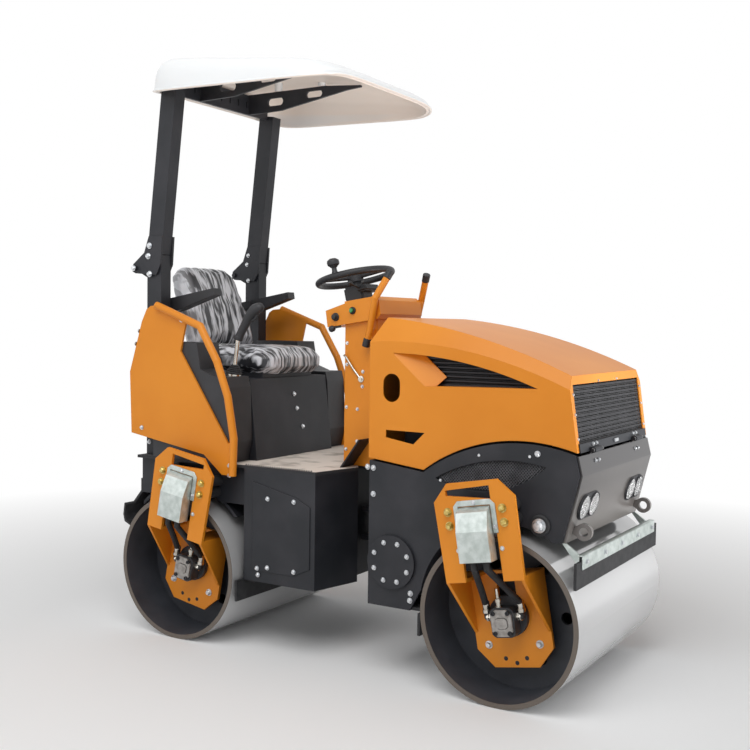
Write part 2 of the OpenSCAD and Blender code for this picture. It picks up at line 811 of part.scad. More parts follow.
module hood_chamfer(d) {
    rc = hood_bow / cos(hood_slope);
    translate([hood_mid, hood_half, hood_shoulder + 3]) rotate([-hood_slope, 0, 0])
        translate([0, 0, -rc]) rotate([90, 0, 0]) cylinder(r = rc - d, h = 5000, center = true, $fn = 400);
}

module hood_form(d) {
    intersection() {
        side_plate(hood_half - d, 2 * (hood_half - d)) hood_profile(d);
        hood_chamfer(d);
        mirror([0, 1, 0]) hood_chamfer(d);
    }
}

module vent_face(d) {
    z = hood_shoulder - 158;
    intersection() {
        translate([hood_mid, hood_shoulder + 3 - hood_bow]) circle(r = hood_bow - 43 + d, $fn = 400);
        polygon([[hood_rear + 105 - 2 * d, z + 127 + d], [ax + 108 + 2 * d, z + 127 + d],
                 [ax + 108 + 2 * d, z + 9 - d], [hood_rear + 232 - d, z - d],
                 [hood_rear + 105 - 2 * d, z + 105]]);
    }
}

module at_grille() {
    translate([grille_x, 0, grille_z]) rotate([0, -grille_lean, 0]) children();
}

module hood() {
    color("#e08a34") difference() {
        hood_form(0);
        hood_form(hood_t);
        side_plate(hood_half + 10, 2 * hood_half + 20) translate(arch_c) circle(r = arch_hood, $fn = 200);
        side_plate(hood_half + 10, 2 * hood_half + 20) {
            vent_face(0);
            translate([hood_rear + 96, hood_shoulder - 170]) rotate(90) slot(106, 73);
            polygon([[hood_rear + 74, hood_heel + 109], [hood_low[0] + 1, hood_heel + 108],
                     [hood_low[0] - 46, hood_heel + 62], [hood_rear + 74, hood_heel + 81]]);
        }
        at_grille() translate([-60, 28 - hood_half, 14]) cube([120, 2 * hood_half - 56, 208]);
    }
    color("#e08a34") both_sides() {
        side_plate(hood_half - 2, well - 2) difference() {
            vent_face(4);
            vent_face(0);
        }
        intersection() {
            side_plate(hood_half - 0.5, well) vent_face(2);
            translate([hood_rear + 105, hood_half, hood_shoulder - 50]) rotate([0, -49.6, 0])
                linear_extrude(400, center = true)
                    polygon([[-3, 0], [1, 0], [74, 5 - well], [74, 1 - well], [-3, -5]]);
        }
    }
}

module hood_grille() {
    w = 2 * (hood_half - hood_t) - 16;
    color("#17181a") intersection() {
        hood_form(hood_t + 0.3);
        at_grille() {
            for (z = [16 : louvre_pitch : 224]) translate([-hood_t - 9, -w / 2, z]) cube([9, w, 7]);
            for (y = [-w / 2, -w / 6, w / 6 - 6, w / 2 - 6])
                translate([-hood_t - 8, y, 12]) cube([6, 6, 216]);
        }
    }
}

module hood_vents() {
    color("#17181a") both_sides() {
        side_plate(hood_half - well, 8) difference() {
            vent_face(4);
            vent_face(-6);
        }
        intersection() {
            side_plate(hood_half - well, 8) vent_face(2);
            for (z = [hood_shoulder - 171 : louvre_pitch : hood_shoulder - 20])
                translate([hood_rear, hood_half - well - 20, z]) cube([ax, 60, 6]);
        }
    }
}

module hood_bar() {
    color("#17181a") {
        at_grille() translate([0, 20 - hood_half, -11]) cube([5, 2 * hood_half - 40, 30]);
        both_sides() difference() {
            union() {
                translate([hinge_x, hood_half - 120, hinge_z]) rotate([90, 0, 0]) cylinder(r = 9, h = 70);
                translate([hinge_x - 12, hood_half - 190, hinge_z - 2]) cube([12, 70, 11]);
            }
            translate([hinge_x, hood_half, hinge_z]) rotate([90, 0, 0]) cylinder(r = hinge_pin_r, h = 400);
        }
    }
}

module front_drum() { color("#b7babd") at_front() drum(); }
module rear_drum() { color("#b7babd") at_rear() drum(); }

// Steering cylinder: opened at the rod's eye.

module steering_cylinder() {
    color("#3a3c3f") translate([cyl_rear, cyl_y, cyl_z]) difference() {
        union() {
            translate([44, 0, 0]) rotate([0, 90, 0]) cylinder(r = 32, h = 218);
            translate([0, 0, -16]) cylinder(r = 30, h = 32);
            translate([0, -16, -16]) cube([50, 32, 32]);
        }
        translate([0, 0, -40]) cylinder(r = 12.05, h = 80);
        translate([52, 0, 0]) rotate([0, 90, 0]) cylinder(r = 24, h = 198);
        translate([52, 0, 0]) rotate([0, 90, 0]) cylinder(r = 14.05, h = 400);
    }
}

module steering_rod() {
    color("#c9cacc") translate([cyl_rear, cyl_y, cyl_z]) {
        translate([150, 0, 0]) rotate([0, 90, 0]) cylinder(r = 14, h = cyl_len - 165);
        translate([cyl_len, 0, -16]) cylinder(r = 25, h = 32);
        translate([cyl_len, 0, -15]) cylinder(r = 12, h = 45);
    }
}

rear_chassis();
floor_plate();
seat_base();
seat_cushion();
seat_back();
armrests();
side_panels();
side_tanks();
post_stubs();
travel_lever();
lever_grip();
steering_column();
dash_box();
dash_switches();
grab_handles();
toe_plates();
rear_yokes();
rear_buffers();
rear_hose_covers();
rear_motors();
rear_hoses();
rear_scrapers();
rear_lugs();
upper_posts();
mast_plates();
canopy_frame();
canopy();
steering_wheel();
front_chassis();
arch_meshes();
tank_covers();
nose_panel();
head_lamps();
engine();
front_yokes();
front_buffers();
front_hose_covers();
front_motors();
front_hoses();
scraper_bracket();
front_scrapers();
front_lugs();
centre_joint();
hinge_ears();
hood();
hood_grille();
hood_vents();
hood_bar();
front_drum();
rear_drum();
steering_cylinder();
steering_rod();
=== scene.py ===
import bmesh
import bpy
import json
import math
from mathutils import Matrix, Vector, noise


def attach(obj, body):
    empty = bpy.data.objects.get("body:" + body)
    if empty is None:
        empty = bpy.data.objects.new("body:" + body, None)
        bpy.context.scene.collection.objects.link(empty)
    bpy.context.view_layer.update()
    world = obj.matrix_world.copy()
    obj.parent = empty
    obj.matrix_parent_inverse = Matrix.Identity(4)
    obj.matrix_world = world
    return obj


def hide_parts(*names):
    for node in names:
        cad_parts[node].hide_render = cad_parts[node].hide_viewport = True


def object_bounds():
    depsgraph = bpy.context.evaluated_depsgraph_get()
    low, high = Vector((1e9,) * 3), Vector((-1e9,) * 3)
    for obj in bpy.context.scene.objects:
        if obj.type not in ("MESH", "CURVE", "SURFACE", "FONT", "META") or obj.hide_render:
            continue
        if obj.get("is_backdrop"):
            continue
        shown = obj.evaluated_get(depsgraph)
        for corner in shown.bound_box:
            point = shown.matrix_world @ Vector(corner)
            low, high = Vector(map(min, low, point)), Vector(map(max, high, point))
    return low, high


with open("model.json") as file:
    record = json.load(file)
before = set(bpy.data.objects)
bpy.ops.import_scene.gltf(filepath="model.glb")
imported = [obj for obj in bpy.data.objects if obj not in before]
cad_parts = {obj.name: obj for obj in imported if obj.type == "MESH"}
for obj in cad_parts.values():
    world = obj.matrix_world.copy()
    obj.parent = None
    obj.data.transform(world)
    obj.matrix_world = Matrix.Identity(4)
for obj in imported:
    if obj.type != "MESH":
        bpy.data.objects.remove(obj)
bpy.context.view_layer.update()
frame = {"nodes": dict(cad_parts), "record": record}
scene = bpy.context.scene
scene.view_settings.view_transform = "Standard"
nodes = frame["nodes"]
mm = 0.001
print("frame:", len(nodes), "nodes")


def linear(code):
    parts = [int(code[i:i + 2], 16) / 255 for i in (1, 3, 5)]
    return [p / 12.92 if p <= 0.04045 else ((p + 0.055) / 1.055) ** 2.4 for p in parts] + [1.0]


def addNode(tree, kind, inputs=None, **settings):
    made = tree.nodes.new(kind)
    for key, value in settings.items():
        setattr(made, key, value)
    for key, value in (inputs or {}).items():
        if isinstance(value, bpy.types.NodeSocket):
            tree.links.new(value, made.inputs[key])
        else:
            made.inputs[key].default_value = value
    return made


def calc(tree, operation, *values):
    return addNode(tree, "ShaderNodeMath", dict(enumerate(values)), operation=operation).outputs[0]


def span(tree, value, low, high, toLow=0.0, toHigh=1.0):
    return addNode(tree, "ShaderNodeMapRange", {
        "Value": value, "From Min": low, "From Max": high, "To Min": toLow, "To Max": toHigh}).outputs[0]


def cloud(tree, place, sizeMm, detail):
    return addNode(tree, "ShaderNodeTexNoise", {
        "Vector": place, "Scale": 1000 / sizeMm, "Detail": detail}).outputs["Fac"]


def mixTone(tree, share, low, high):
    mix = addNode(tree, "ShaderNodeMix", {"Factor": share}, data_type="RGBA")
    for socket, tone in zip([s for s in mix.inputs if s.type == "RGBA"], (low, high)):
        if isinstance(tone, str):
            socket.default_value = linear(tone)
        else:
            tree.links.new(tone, socket)
    return [s for s in mix.outputs if s.type == "RGBA"][0]


def newMaterial(name, sockets):
    made = bpy.data.materials.new(name)
    made.use_nodes = True
    tree = made.node_tree
    shader = tree.nodes["Principled BSDF"]
    for key, value in sockets.items():
        shader.inputs[key].default_value = value
    place = addNode(tree, "ShaderNodeTexCoord").outputs["Object"]
    return made, tree, shader, place


# Colours run between two hex values over a noise of the given size.
def twoTone(tree, shader, place, low, high, sizeMm, spread=(0.35, 0.65), detail=4):
    colour = mixTone(tree, span(tree, cloud(tree, place, sizeMm, detail), *spread), low, high)
    tree.links.new(colour, shader.inputs["Base Color"])
    return colour


def roughBump(tree, shader, place, sizeMm, depthMm, strength, roundMm=0, detail=2):
    bump = addNode(tree, "ShaderNodeBump", {
        "Height": cloud(tree, place, sizeMm, detail), "Distance": depthMm * mm, "Strength": strength})
    if roundMm:
        edge = addNode(tree, "ShaderNodeBevel", {"Radius": roundMm * mm}, samples=4)
        tree.links.new(edge.outputs[0], bump.inputs["Normal"])
    tree.links.new(bump.outputs[0], shader.inputs["Normal"])


# Two-coat enamel on sheet steel: warm orange, faint orange peel, light coming round the folded edges.
orangeEnamel, tree, shader, place = newMaterial("orangeEnamel", {
    "Roughness": 0.46, "Coat Weight": 0.1, "Coat Roughness": 0.2, "IOR": 1.4})
twoTone(tree, shader, place, "#db8418", "#e38d22", 420)
roughBump(tree, shader, place, 5, 0.12, 0.18, roundMm=3)

# Powder coat on plate: satin black that has taken a little pale dust.
powderBlack, tree, shader, place = newMaterial("powderBlack", {"Roughness": 0.5, "IOR": 1.42})
twoTone(tree, shader, place, "#1f2126", "#2f2f34", 160, (0.4, 0.75))
roughBump(tree, shader, place, 2.5, 0.15, 0.25, roundMm=2.5)

# The same coat on the nose, glossier; lower down it is painted lighter as a painted reflection of the pale floor on
# the lower slope, and a strip along the top is painted darker as painted shade.
noseGrey, tree, shader, place = newMaterial("noseGrey", {
    "Roughness": 0.32, "IOR": 1.5, "Coat Weight": 0.3, "Coat Roughness": 0.12})
coat = twoTone(tree, shader, place, "#332f2e", "#3d3937", 220)
# painted reflection: lighter towards the bottom of the nose; painted shade: a darker strip along the top
height = addNode(tree, "ShaderNodeSeparateXYZ", {"Vector": place}).outputs["Z"]
floorReflection = mixTone(tree, span(tree, height, 0.78, 0.62), coat, "#6f6a67")
tree.links.new(mixTone(tree, span(tree, height, 0.815, 0.832), floorReflection, "#252224"), shader.inputs["Base Color"])
roughBump(tree, shader, place, 4, 0.12, 0.2, roundMm=2.5)

# Steel floor under dried pale dust on the faces that look up; the other faces, and the floor behind x = -0.5 m, are
# left dark.
dustyFloor, tree, shader, place = newMaterial("dustyFloor", {"Roughness": 0.85})
dustTone = twoTone(tree, shader, place, "#8d867d", "#ddd6cd", 90, (0.25, 0.5), detail=8)
roughBump(tree, shader, place, 14, 2.5, 0.7, detail=6)
upward = addNode(tree, "ShaderNodeSeparateXYZ", {"Vector": place.node.outputs["Normal"]}).outputs["Z"]
ahead = addNode(tree, "ShaderNodeSeparateXYZ", {"Vector": place}).outputs["X"]
tread = calc(tree, "MULTIPLY", span(tree, upward, 0.6, 0.8), span(tree, ahead, -0.5, -0.46))
tree.links.new(mixTone(tree, tread, "#2c2c2f", dustTone), shader.inputs["Base Color"])

# Seat vinyl still in its delivery film: black, with folds that run down the back and along the cushion; the folds are
# painted pale as painted highlights, and the sides of the back are painted pale as painted sheen.
filmedVinyl, tree, shader, place = newMaterial("filmedVinyl", {
    "Roughness": 0.45, "Coat Weight": 0.5, "Coat Roughness": 0.22, "IOR": 1.4})
vinylTone = twoTone(tree, shader, place, "#15161a", "#2b2c32", 40, (0.3, 0.75))
warp = addNode(tree, "ShaderNodeTexNoise", {"Vector": place, "Scale": 7.0, "Detail": 2.0})
bent = addNode(tree, "ShaderNodeVectorMath", {0: warp.outputs["Color"], 1: (0.06, 0.06, 0.06), 2: place},
               operation="MULTIPLY_ADD")
creased = addNode(tree, "ShaderNodeMapping", {"Vector": bent.outputs[0], "Scale": (0.2, 1.0, 0.14)})
fold = cloud(tree, creased.outputs[0], 17, 3.0)
wrinkle = addNode(tree, "ShaderNodeBump", {"Height": fold, "Distance": 0.007, "Strength": 0.6})
tree.links.new(wrinkle.outputs[0], shader.inputs["Normal"])
tree.links.new(wrinkle.outputs[0], shader.inputs["Coat Normal"])
apart = addNode(tree, "ShaderNodeSeparateXYZ", {"Vector": place}).outputs
# painted highlight and painted sheen: pale streaks on the folds and a pale sheen on the sides of the back, painted
# into the base colour
bolster = span(tree, calc(tree, "ABSOLUTE", apart["Y"]), 0.14, 0.19, toHigh=0.6)
bolsterSheen = calc(tree, "MULTIPLY", bolster, span(tree, apart["Z"], 1.26, 1.34))  # the back alone has bolsters
paintedHighlight = calc(tree, "MAXIMUM", span(tree, fold, 0.44, 0.58), bolsterSheen)
tree.links.new(mixTone(tree, paintedHighlight, vinylTone, "#dcdee4"), shader.inputs["Base Color"])

# Moulded ABS with a fine spark-eroded grain, drawn at 1.5 mm so that it shows.
mouldedAbs, tree, shader, place = newMaterial("mouldedAbs", {"Roughness": 0.5, "IOR": 1.5})
twoTone(tree, shader, place, "#1e1f22", "#29292d", 120)
roughBump(tree, shader, place, 1.5, 0.12, 0.35, roundMm=3)

# Bright steel rod and nickel fittings.
brightSteel, tree, shader, place = newMaterial("brightSteel", {"Metallic": 1.0, "Roughness": 0.24})
twoTone(tree, shader, place, "#b3aea4", "#d3cfc7", 40)
roughBump(tree, shader, place, 6, 0.05, 0.15)

# Zinc plated fasteners, bluish white; the yoke bolts are yellow passivated.
zincBolt, tree, shader, place = newMaterial("zincBolt", {"Metallic": 0.9, "Roughness": 0.3})
twoTone(tree, shader, place, "#b9bcc0", "#e2e4e6", 12)
yellowZinc, tree, shader, place = newMaterial("yellowZinc", {"Metallic": 0.9, "Roughness": 0.3})
twoTone(tree, shader, place, "#a8893c", "#dcc981", 12)

# Hot-dip galvanised sheet: spangle of about 14 mm, dull silver with a green cast.
spangleZinc, tree, shader, place = newMaterial("spangleZinc", {"Metallic": 0.75, "Roughness": 0.4})
cells = addNode(tree, "ShaderNodeTexVoronoi", {"Vector": place, "Scale": 1000 / 14})
tree.links.new(span(tree, cells.outputs["Color"], 0, 1, 0.36, 0.5), shader.inputs["Roughness"])
twoTone(tree, shader, place, "#b4bdb9", "#ced5d2", 26)
edge = addNode(tree, "ShaderNodeBevel", {"Radius": 0.002}, samples=4)
tree.links.new(edge.outputs[0], shader.inputs["Normal"])

# Painted iron castings, and the bare alloy of the motor covers.
paintedIron, tree, shader, place = newMaterial("paintedIron", {"Roughness": 0.55, "IOR": 1.5})
twoTone(tree, shader, place, "#2b2c2f", "#3d3e42", 30)
roughBump(tree, shader, place, 4, 0.4, 0.4, roundMm=3)
bareAlloy, tree, shader, place = newMaterial("bareAlloy", {"Metallic": 0.55, "Roughness": 0.45})
twoTone(tree, shader, place, "#8b8783", "#a8a4a0", 18)
roughBump(tree, shader, place, 2, 0.2, 0.35)

# Gelcoat on glass fibre: white above, rolled cream laminate below.
canopyGelcoat, tree, shader, place = newMaterial("canopyGelcoat", {
    "Roughness": 0.28, "Coat Weight": 0.3, "Coat Roughness": 0.1,
    "Subsurface Weight": 0.15, "Subsurface Scale": 0.03, "Subsurface Radius": (1, 0.9, 0.8)})
facing = addNode(tree, "ShaderNodeSeparateXYZ", {"Vector": place.node.outputs["Normal"]}).outputs["Z"]
tree.links.new(mixTone(tree, span(tree, facing, -0.25, -0.05), "#f8ebe0", "#eceeef"), shader.inputs["Base Color"])
roughBump(tree, shader, place, 60, 0.6, 0.12)

# Nitrile and neoprene: dull black with a slight bloom.
blackRubber, tree, shader, place = newMaterial("blackRubber", {"Roughness": 0.68})
twoTone(tree, shader, place, "#17171a", "#2a2a2c", 35)
roughBump(tree, shader, place, 2, 0.2, 0.4)

# Wires under black paint, and the expanded mesh of the arch, whose paint has greyed.
meshBlack, tree, shader, place = newMaterial("meshBlack", {"Roughness": 0.5})
twoTone(tree, shader, place, "#202023", "#38373a", 60)
strandGrey, tree, shader, place = newMaterial("strandGrey", {"Roughness": 0.45})
twoTone(tree, shader, place, "#4c4c50", "#6a6a6e", 40)

# Rolled drum: turned and polished outside, dark primer inside, a thin rusty edge where road work wears it.
drum = {"axleX": 0.7325, "axleZ": 0.3, "radius": 0.3, "edge": (0.4575, 0.459), "metal": 0.4}
drumSteel, tree, shader, place = newMaterial("drumSteel", {"Roughness": 0.2})
apart = addNode(tree, "ShaderNodeSeparateXYZ", {"Vector": place}).outputs
spoke = addNode(tree, "ShaderNodeCombineXYZ", {
    "X": calc(tree, "SUBTRACT", calc(tree, "ABSOLUTE", apart["X"]), drum["axleX"]),
    "Y": calc(tree, "SUBTRACT", apart["Z"], drum["axleZ"])})
reach = addNode(tree, "ShaderNodeVectorMath", {0: spoke.outputs[0]}, operation="LENGTH").outputs["Value"]
skinShare = span(tree, reach, drum["radius"] - 0.004, drum["radius"] - 0.002)
turned = addNode(tree, "ShaderNodeMapping", {"Vector": place, "Scale": (1, 60, 1)})  # marks run round the drum
marks = addNode(tree, "ShaderNodeTexNoise", {"Vector": turned.outputs[0], "Scale": 9.0, "Detail": 3.0})
polish = span(tree, marks.outputs["Fac"], 0, 1, 0.07, 0.16)
roughness = addNode(tree, "ShaderNodeMix", {"Factor": skinShare, "A": 0.5, "B": polish})
tree.links.new(roughness.outputs[0], shader.inputs["Roughness"])
primer = addNode(tree, "ShaderNodeTexNoise", {"Vector": place, "Scale": 12.0, "Detail": 5.0})
primerTone = mixTone(tree, primer.outputs["Fac"], "#2b2d33", "#4a4d54")
wholeTone = mixTone(tree, skinShare, primerTone, "#d9d9da")
rimShare = span(tree, calc(tree, "ABSOLUTE", apart["Y"]), *drum["edge"])
tree.links.new(mixTone(tree, rimShare, wholeTone, "#665d55"), shader.inputs["Base Color"])
bare = calc(tree, "MULTIPLY", skinShare, calc(tree, "SUBTRACT", 1.0, rimShare))
tree.links.new(calc(tree, "MULTIPLY", bare, drum["metal"]), shader.inputs["Metallic"])

# Lamps: polycarbonate lens over a faceted bright reflector.
clearLens, tree, shader, place = newMaterial("clearLens", {
    "Base Color": linear("#ffffff"), "Roughness": 0.02, "Transmission Weight": 1.0, "IOR": 1.2, "Alpha": 0.4})
flutes = addNode(tree, "ShaderNodeTexVoronoi", {"Vector": place, "Scale": 1000 / 16})
cut = addNode(tree, "ShaderNodeBump", {"Height": flutes.outputs["Distance"], "Distance": 0.001, "Strength": 0.3})
tree.links.new(cut.outputs[0], shader.inputs["Normal"])
mirrorBowl, tree, shader, place = newMaterial("mirrorBowl", {"Metallic": 0.35, "Roughness": 0.25})
twoTone(tree, shader, place, "#eceded", "#fafafa", 15)
buttonGreen, tree, shader, place = newMaterial("buttonGreen", {"Roughness": 0.3, "Coat Weight": 0.4})
twoTone(tree, shader, place, "#12723a", "#1f9a51", 8)

slotMaterial = {
    "orange_paint": orangeEnamel, "black_paint": powderBlack, "grey_paint": noseGrey, "floor_sheet": dustyFloor,
    "seat_vinyl": filmedVinyl, "black_plastic": mouldedAbs, "bright_steel": brightSteel, "rubber": blackRubber,
    "zinc_sheet": spangleZinc, "cast_iron": paintedIron, "canopy_shell": canopyGelcoat, "lamp_glass": clearLens,
    "drum_steel": drumSteel}
for part in frame["record"]["subparts"]:
    mesh = nodes[part["node"]].data
    mesh.materials.clear()
    mesh.materials.append(slotMaterial[part["material_slot"]])
print("materials:", len(bpy.data.materials))


def addObject(name, data):
    made = bpy.data.objects.new(name, data)
    scene.collection.objects.link(made)
    return made


# Shapes are drawn in millimetres into a bmesh and become one piece of one material on one body.
def basis(aim):
    z = Vector(aim).normalized()
    x = Vector((1, 0, 0)) if abs(z.x) < 0.8 else Vector((0, 1, 0))
    y = z.cross(x).normalized()
    return Matrix((y.cross(z), y, z)).transposed()


def bridge(bm, a, b):
    n = len(a)
    for i in range(n):
        bm.faces.new((a[i], a[(i + 1) % n], b[(i + 1) % n], b[i]))


def addLathe(bm, profile, place, aim, count):
    turn = basis(aim)
    rings = []
    for r, h in profile:
        if r < 0.01:
            rings.append([bm.verts.new(Vector(place) + turn @ Vector((0, 0, h)))])
            continue
        rings.append([bm.verts.new(Vector(place) + turn @ Vector((
            r * math.cos(2 * math.pi * i / count), r * math.sin(2 * math.pi * i / count), h))) for i in range(count)])
    for a, b in zip(rings, rings[1:]):
        for i in range(count):
            ring = [a[i % len(a)], a[(i + 1) % len(a)], b[(i + 1) % len(b)], b[i % len(b)]]
            ring = [v for k, v in enumerate(ring) if v not in ring[:k]]
            if len(ring) > 2:
                bm.faces.new(ring)
    for ring in (rings[0], rings[-1]):
        if len(ring) > 2 and profile[0] != profile[-1]:
            bm.faces.new(ring)


def addPrism(bm, outline, place, thick):
    # place turns an outline point into a place in space, thick is the vector the outline is pushed along
    low = [bm.verts.new(place(*p)) for p in outline]
    high = [bm.verts.new(place(*p) + Vector(thick)) for p in outline]
    bm.faces.new(low)
    bm.faces.new(high)
    bridge(bm, low, high)


def addTube(bm, path, r, count):
    points = [Vector(p) for p in path]
    rings = []
    side = None
    for i, p in enumerate(points):
        ahead = (points[min(i + 1, len(points) - 1)] - points[max(i - 1, 0)]).normalized()
        if side is None:
            side = ahead.orthogonal().normalized()
        side = (side - ahead * side.dot(ahead)).normalized()
        over = ahead.cross(side)
        wide = r[i] if isinstance(r, (list, tuple)) else r
        rings.append([bm.verts.new(p + wide * (side * math.cos(2 * math.pi * k / count)
                                            + over * math.sin(2 * math.pi * k / count))) for k in range(count)])
    for a, b in zip(rings, rings[1:]):
        bridge(bm, a, b)
    bm.faces.new(rings[0])
    bm.faces.new(rings[-1])


def smoothPath(points, steps=8):
    points = [Vector(p) for p in points]
    full = [2 * points[0] - points[1]] + points + [2 * points[-1] - points[-2]]
    out = []
    for i in range(1, len(full) - 2):
        a, b, c, d = full[i - 1:i + 3]
        for k in range(steps):
            t = k / steps
            out.append(0.5 * (2 * b + (c - a) * t + (2 * a - 5 * b + 4 * c - d) * t * t
                              + (3 * b - a - 3 * c + d) * t ** 3))
    return out + [points[-1]]


def makePiece(name, bm, material, body, bevel=0, sharp=35, segments=2):
    bmesh.ops.remove_doubles(bm, verts=bm.verts, dist=0.001)
    bmesh.ops.recalc_face_normals(bm, faces=bm.faces)
    if bevel:
        edges = [e for e in bm.edges if len(e.link_faces) == 2 and e.calc_face_angle() > math.radians(sharp)]
        bmesh.ops.bevel(bm, geom=edges, offset=bevel, segments=segments, affect="EDGES", clamp_overlap=True)
    bmesh.ops.scale(bm, vec=(mm, mm, mm), verts=bm.verts)
    for face in bm.faces:
        face.smooth = True
    for e in bm.edges:
        e.smooth = len(e.link_faces) == 2 and e.calc_face_angle() < math.radians(sharp)
    mesh = bpy.data.meshes.new(name)
    bm.to_mesh(mesh)
    bm.free()
    mesh.materials.append(material)
    made = addObject(name, mesh)
    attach(made, body)
    return made


# Geometry Nodes: hexagon heads on washers at points, each looking along its own aim.
def boltTree(material):
    group = bpy.data.node_groups.new("boltHeads", "GeometryNodeTree")
    group.interface.new_socket("Geometry", in_out="INPUT", socket_type="NodeSocketGeometry")
    labels = ("Head Radius", "Head Height", "Washer Radius", "Washer Height")
    for label in labels:
        group.interface.new_socket(label, in_out="INPUT", socket_type="NodeSocketFloat")
    group.interface.new_socket("Geometry", in_out="OUTPUT", socket_type="NodeSocketGeometry")
    start = addNode(group, "NodeGroupInput")
    wide, tall, rim, thick = (start.outputs[label] for label in labels)
    half = calc(group, "MULTIPLY", tall, 0.5)
    head = addNode(group, "GeometryNodeMeshCylinder", {"Vertices": 6, "Radius": wide, "Depth": tall})
    crown = addNode(group, "GeometryNodeMeshCone", {
        "Vertices": 12, "Radius Bottom": wide, "Radius Top": calc(group, "MULTIPLY", wide, 0.72), "Depth": half})
    washer = addNode(group, "GeometryNodeMeshCylinder", {"Vertices": 20, "Radius": rim, "Depth": thick})
    lifts = (calc(group, "ADD", half, thick), calc(group, "MULTIPLY", calc(group, "ADD", tall, thick), 0.9),
             calc(group, "MULTIPLY", thick, 0.5))
    parts = []
    for shape, lift in zip((head, crown, washer), lifts):
        shift = addNode(group, "ShaderNodeCombineXYZ", {"Z": lift}).outputs[0]
        parts.append(addNode(group, "GeometryNodeTransform", {
            "Geometry": shape.outputs["Mesh"], "Translation": shift}))
    joined = addNode(group, "GeometryNodeJoinGeometry")
    for p in parts:
        group.links.new(p.outputs[0], joined.inputs[0])
    aim = addNode(group, "GeometryNodeInputNamedAttribute", {"Name": "aim"}, data_type="FLOAT_VECTOR")
    turn = addNode(group, "FunctionNodeAlignRotationToVector", {"Vector": aim.outputs["Attribute"]}, axis="Z")
    placed = addNode(group, "GeometryNodeInstanceOnPoints", {
        "Points": start.outputs["Geometry"], "Instance": joined.outputs[0], "Rotation": turn.outputs[0]})
    real = addNode(group, "GeometryNodeRealizeInstances", {0: placed.outputs[0]})
    dressed = addNode(group, "GeometryNodeSetMaterial", {"Geometry": real.outputs[0], "Material": material})
    addNode(group, "NodeGroupOutput", {0: dressed.outputs[0]})
    return group


# Geometry Nodes: a round rod along every edge, for mesh, wires and the canopy rim.
def rodTree(material):
    group = bpy.data.node_groups.new("rods", "GeometryNodeTree")
    group.interface.new_socket("Geometry", in_out="INPUT", socket_type="NodeSocketGeometry")
    group.interface.new_socket("Rod Radius", in_out="INPUT", socket_type="NodeSocketFloat")
    group.interface.new_socket("Sides", in_out="INPUT", socket_type="NodeSocketInt")
    group.interface.new_socket("Geometry", in_out="OUTPUT", socket_type="NodeSocketGeometry")
    start = addNode(group, "NodeGroupInput")
    line = addNode(group, "GeometryNodeMeshToCurve", {0: start.outputs["Geometry"]})
    ring = addNode(group, "GeometryNodeCurvePrimitiveCircle", {
        "Resolution": start.outputs["Sides"], "Radius": start.outputs["Rod Radius"]})
    swept = addNode(group, "GeometryNodeCurveToMesh", {
        "Curve": line.outputs[0], "Profile Curve": ring.outputs[0], "Fill Caps": True})
    real = addNode(group, "GeometryNodeRealizeInstances", {0: swept.outputs[0]})
    dressed = addNode(group, "GeometryNodeSetMaterial", {"Geometry": real.outputs[0], "Material": material})
    addNode(group, "NodeGroupOutput", {0: dressed.outputs[0]})
    return group


def evaluatedMesh(made):
    return bpy.data.meshes.new_from_object(made.evaluated_get(bpy.context.evaluated_depsgraph_get()))


def grown(name, group, mesh, values, body):
    holder = addObject(name + "Seed", mesh)
    modifier = holder.modifiers.new("grow", "NODES")
    modifier.node_group = group
    for item in group.interface.items_tree:
        if item.in_out == "INPUT" and item.name in values:
            modifier[item.identifier] = values[item.name]
    bpy.context.view_layer.update()
    made = addObject(name, evaluatedMesh(holder))
    bpy.data.objects.remove(holder)
    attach(made, body)
    return made


def bolts(name, places, body, size, material=zincBolt):
    # places are (x, y, z, aim x, aim y, aim z) in millimetres, size is the thread diameter
    mesh = bpy.data.meshes.new(name + "Points")
    mesh.from_pydata([Vector(p[:3]) * mm for p in places], [], [])
    aims = mesh.attributes.new("aim", "FLOAT_VECTOR", "POINT")
    aims.data.foreach_set("vector", [c for p in places for c in p[3:]])
    values = {"Head Radius": 0.9 * size * mm, "Head Height": 0.64 * size * mm, "Washer Radius": 1.2 * size * mm,
              "Washer Height": 0.2 * size * mm}
    return grown(name, boltTree(material), mesh, values, body)


def rods(name, lines, body, radius, material, sides):
    verts, edges = [], []
    for line in lines:
        for k, p in enumerate(line):
            if k:
                edges.append((len(verts) - 1, len(verts)))
            verts.append(Vector(p) * mm)
    mesh = bpy.data.meshes.new(name + "Lines")
    mesh.from_pydata(verts, edges, [])
    return grown(name, rodTree(material), mesh, {"Rod Radius": radius * mm, "Sides": sides}, body)


bothSides = (-1, 1)
ends = (("front", "front_frame"), ("rear", "rear_frame"))
axle = {"front": (732.5, 1), "rear": (-732.5, -1), "height": 300}
yokeLean = math.radians(10)


def onYoke(end, u, w):
    x, s = axle[end]
    c, t = math.cos(yokeLean), math.sin(yokeLean)
    return x + s * (u * c - w * t), axle["height"] + u * t + w * c


# Canopy: the shell again as one smooth skin with a rolled rim.
canopy = {"centreX": -470.5, "length": 950, "halfWidth": 470, "rimZ": 2268, "crownZ": 2412, "skin": 12,
          "fall": 0.115, "rimFall": 0.025, "rimLift": 26, "dome": 44,
          "bossX": (-220, 20), "bossY": 170, "bossRadius": 18,
          "rings": [(1, 0, 0), (0.995, 0.22, 0), (0.99, 0.45, 0), (0.977, 0.68, 0), (0.955, 0.86, 0.05),
                    (0.93, 0.95, 0.12), (0.9, 1, 0.22), (0.8, 1, 0.48), (0.7, 1, 0.7), (0.55, 1, 0.84),
                    (0.4, 1, 0.93), (0.2, 1, 0.98)], "count": 144}


def bow(v):
    return math.copysign(abs(v) ** 0.3, v)


def rimHeight(out, u):
    return canopy["rimZ"] - canopy["rimFall"] * out + canopy["rimLift"] * abs(math.cos(u)) ** 3


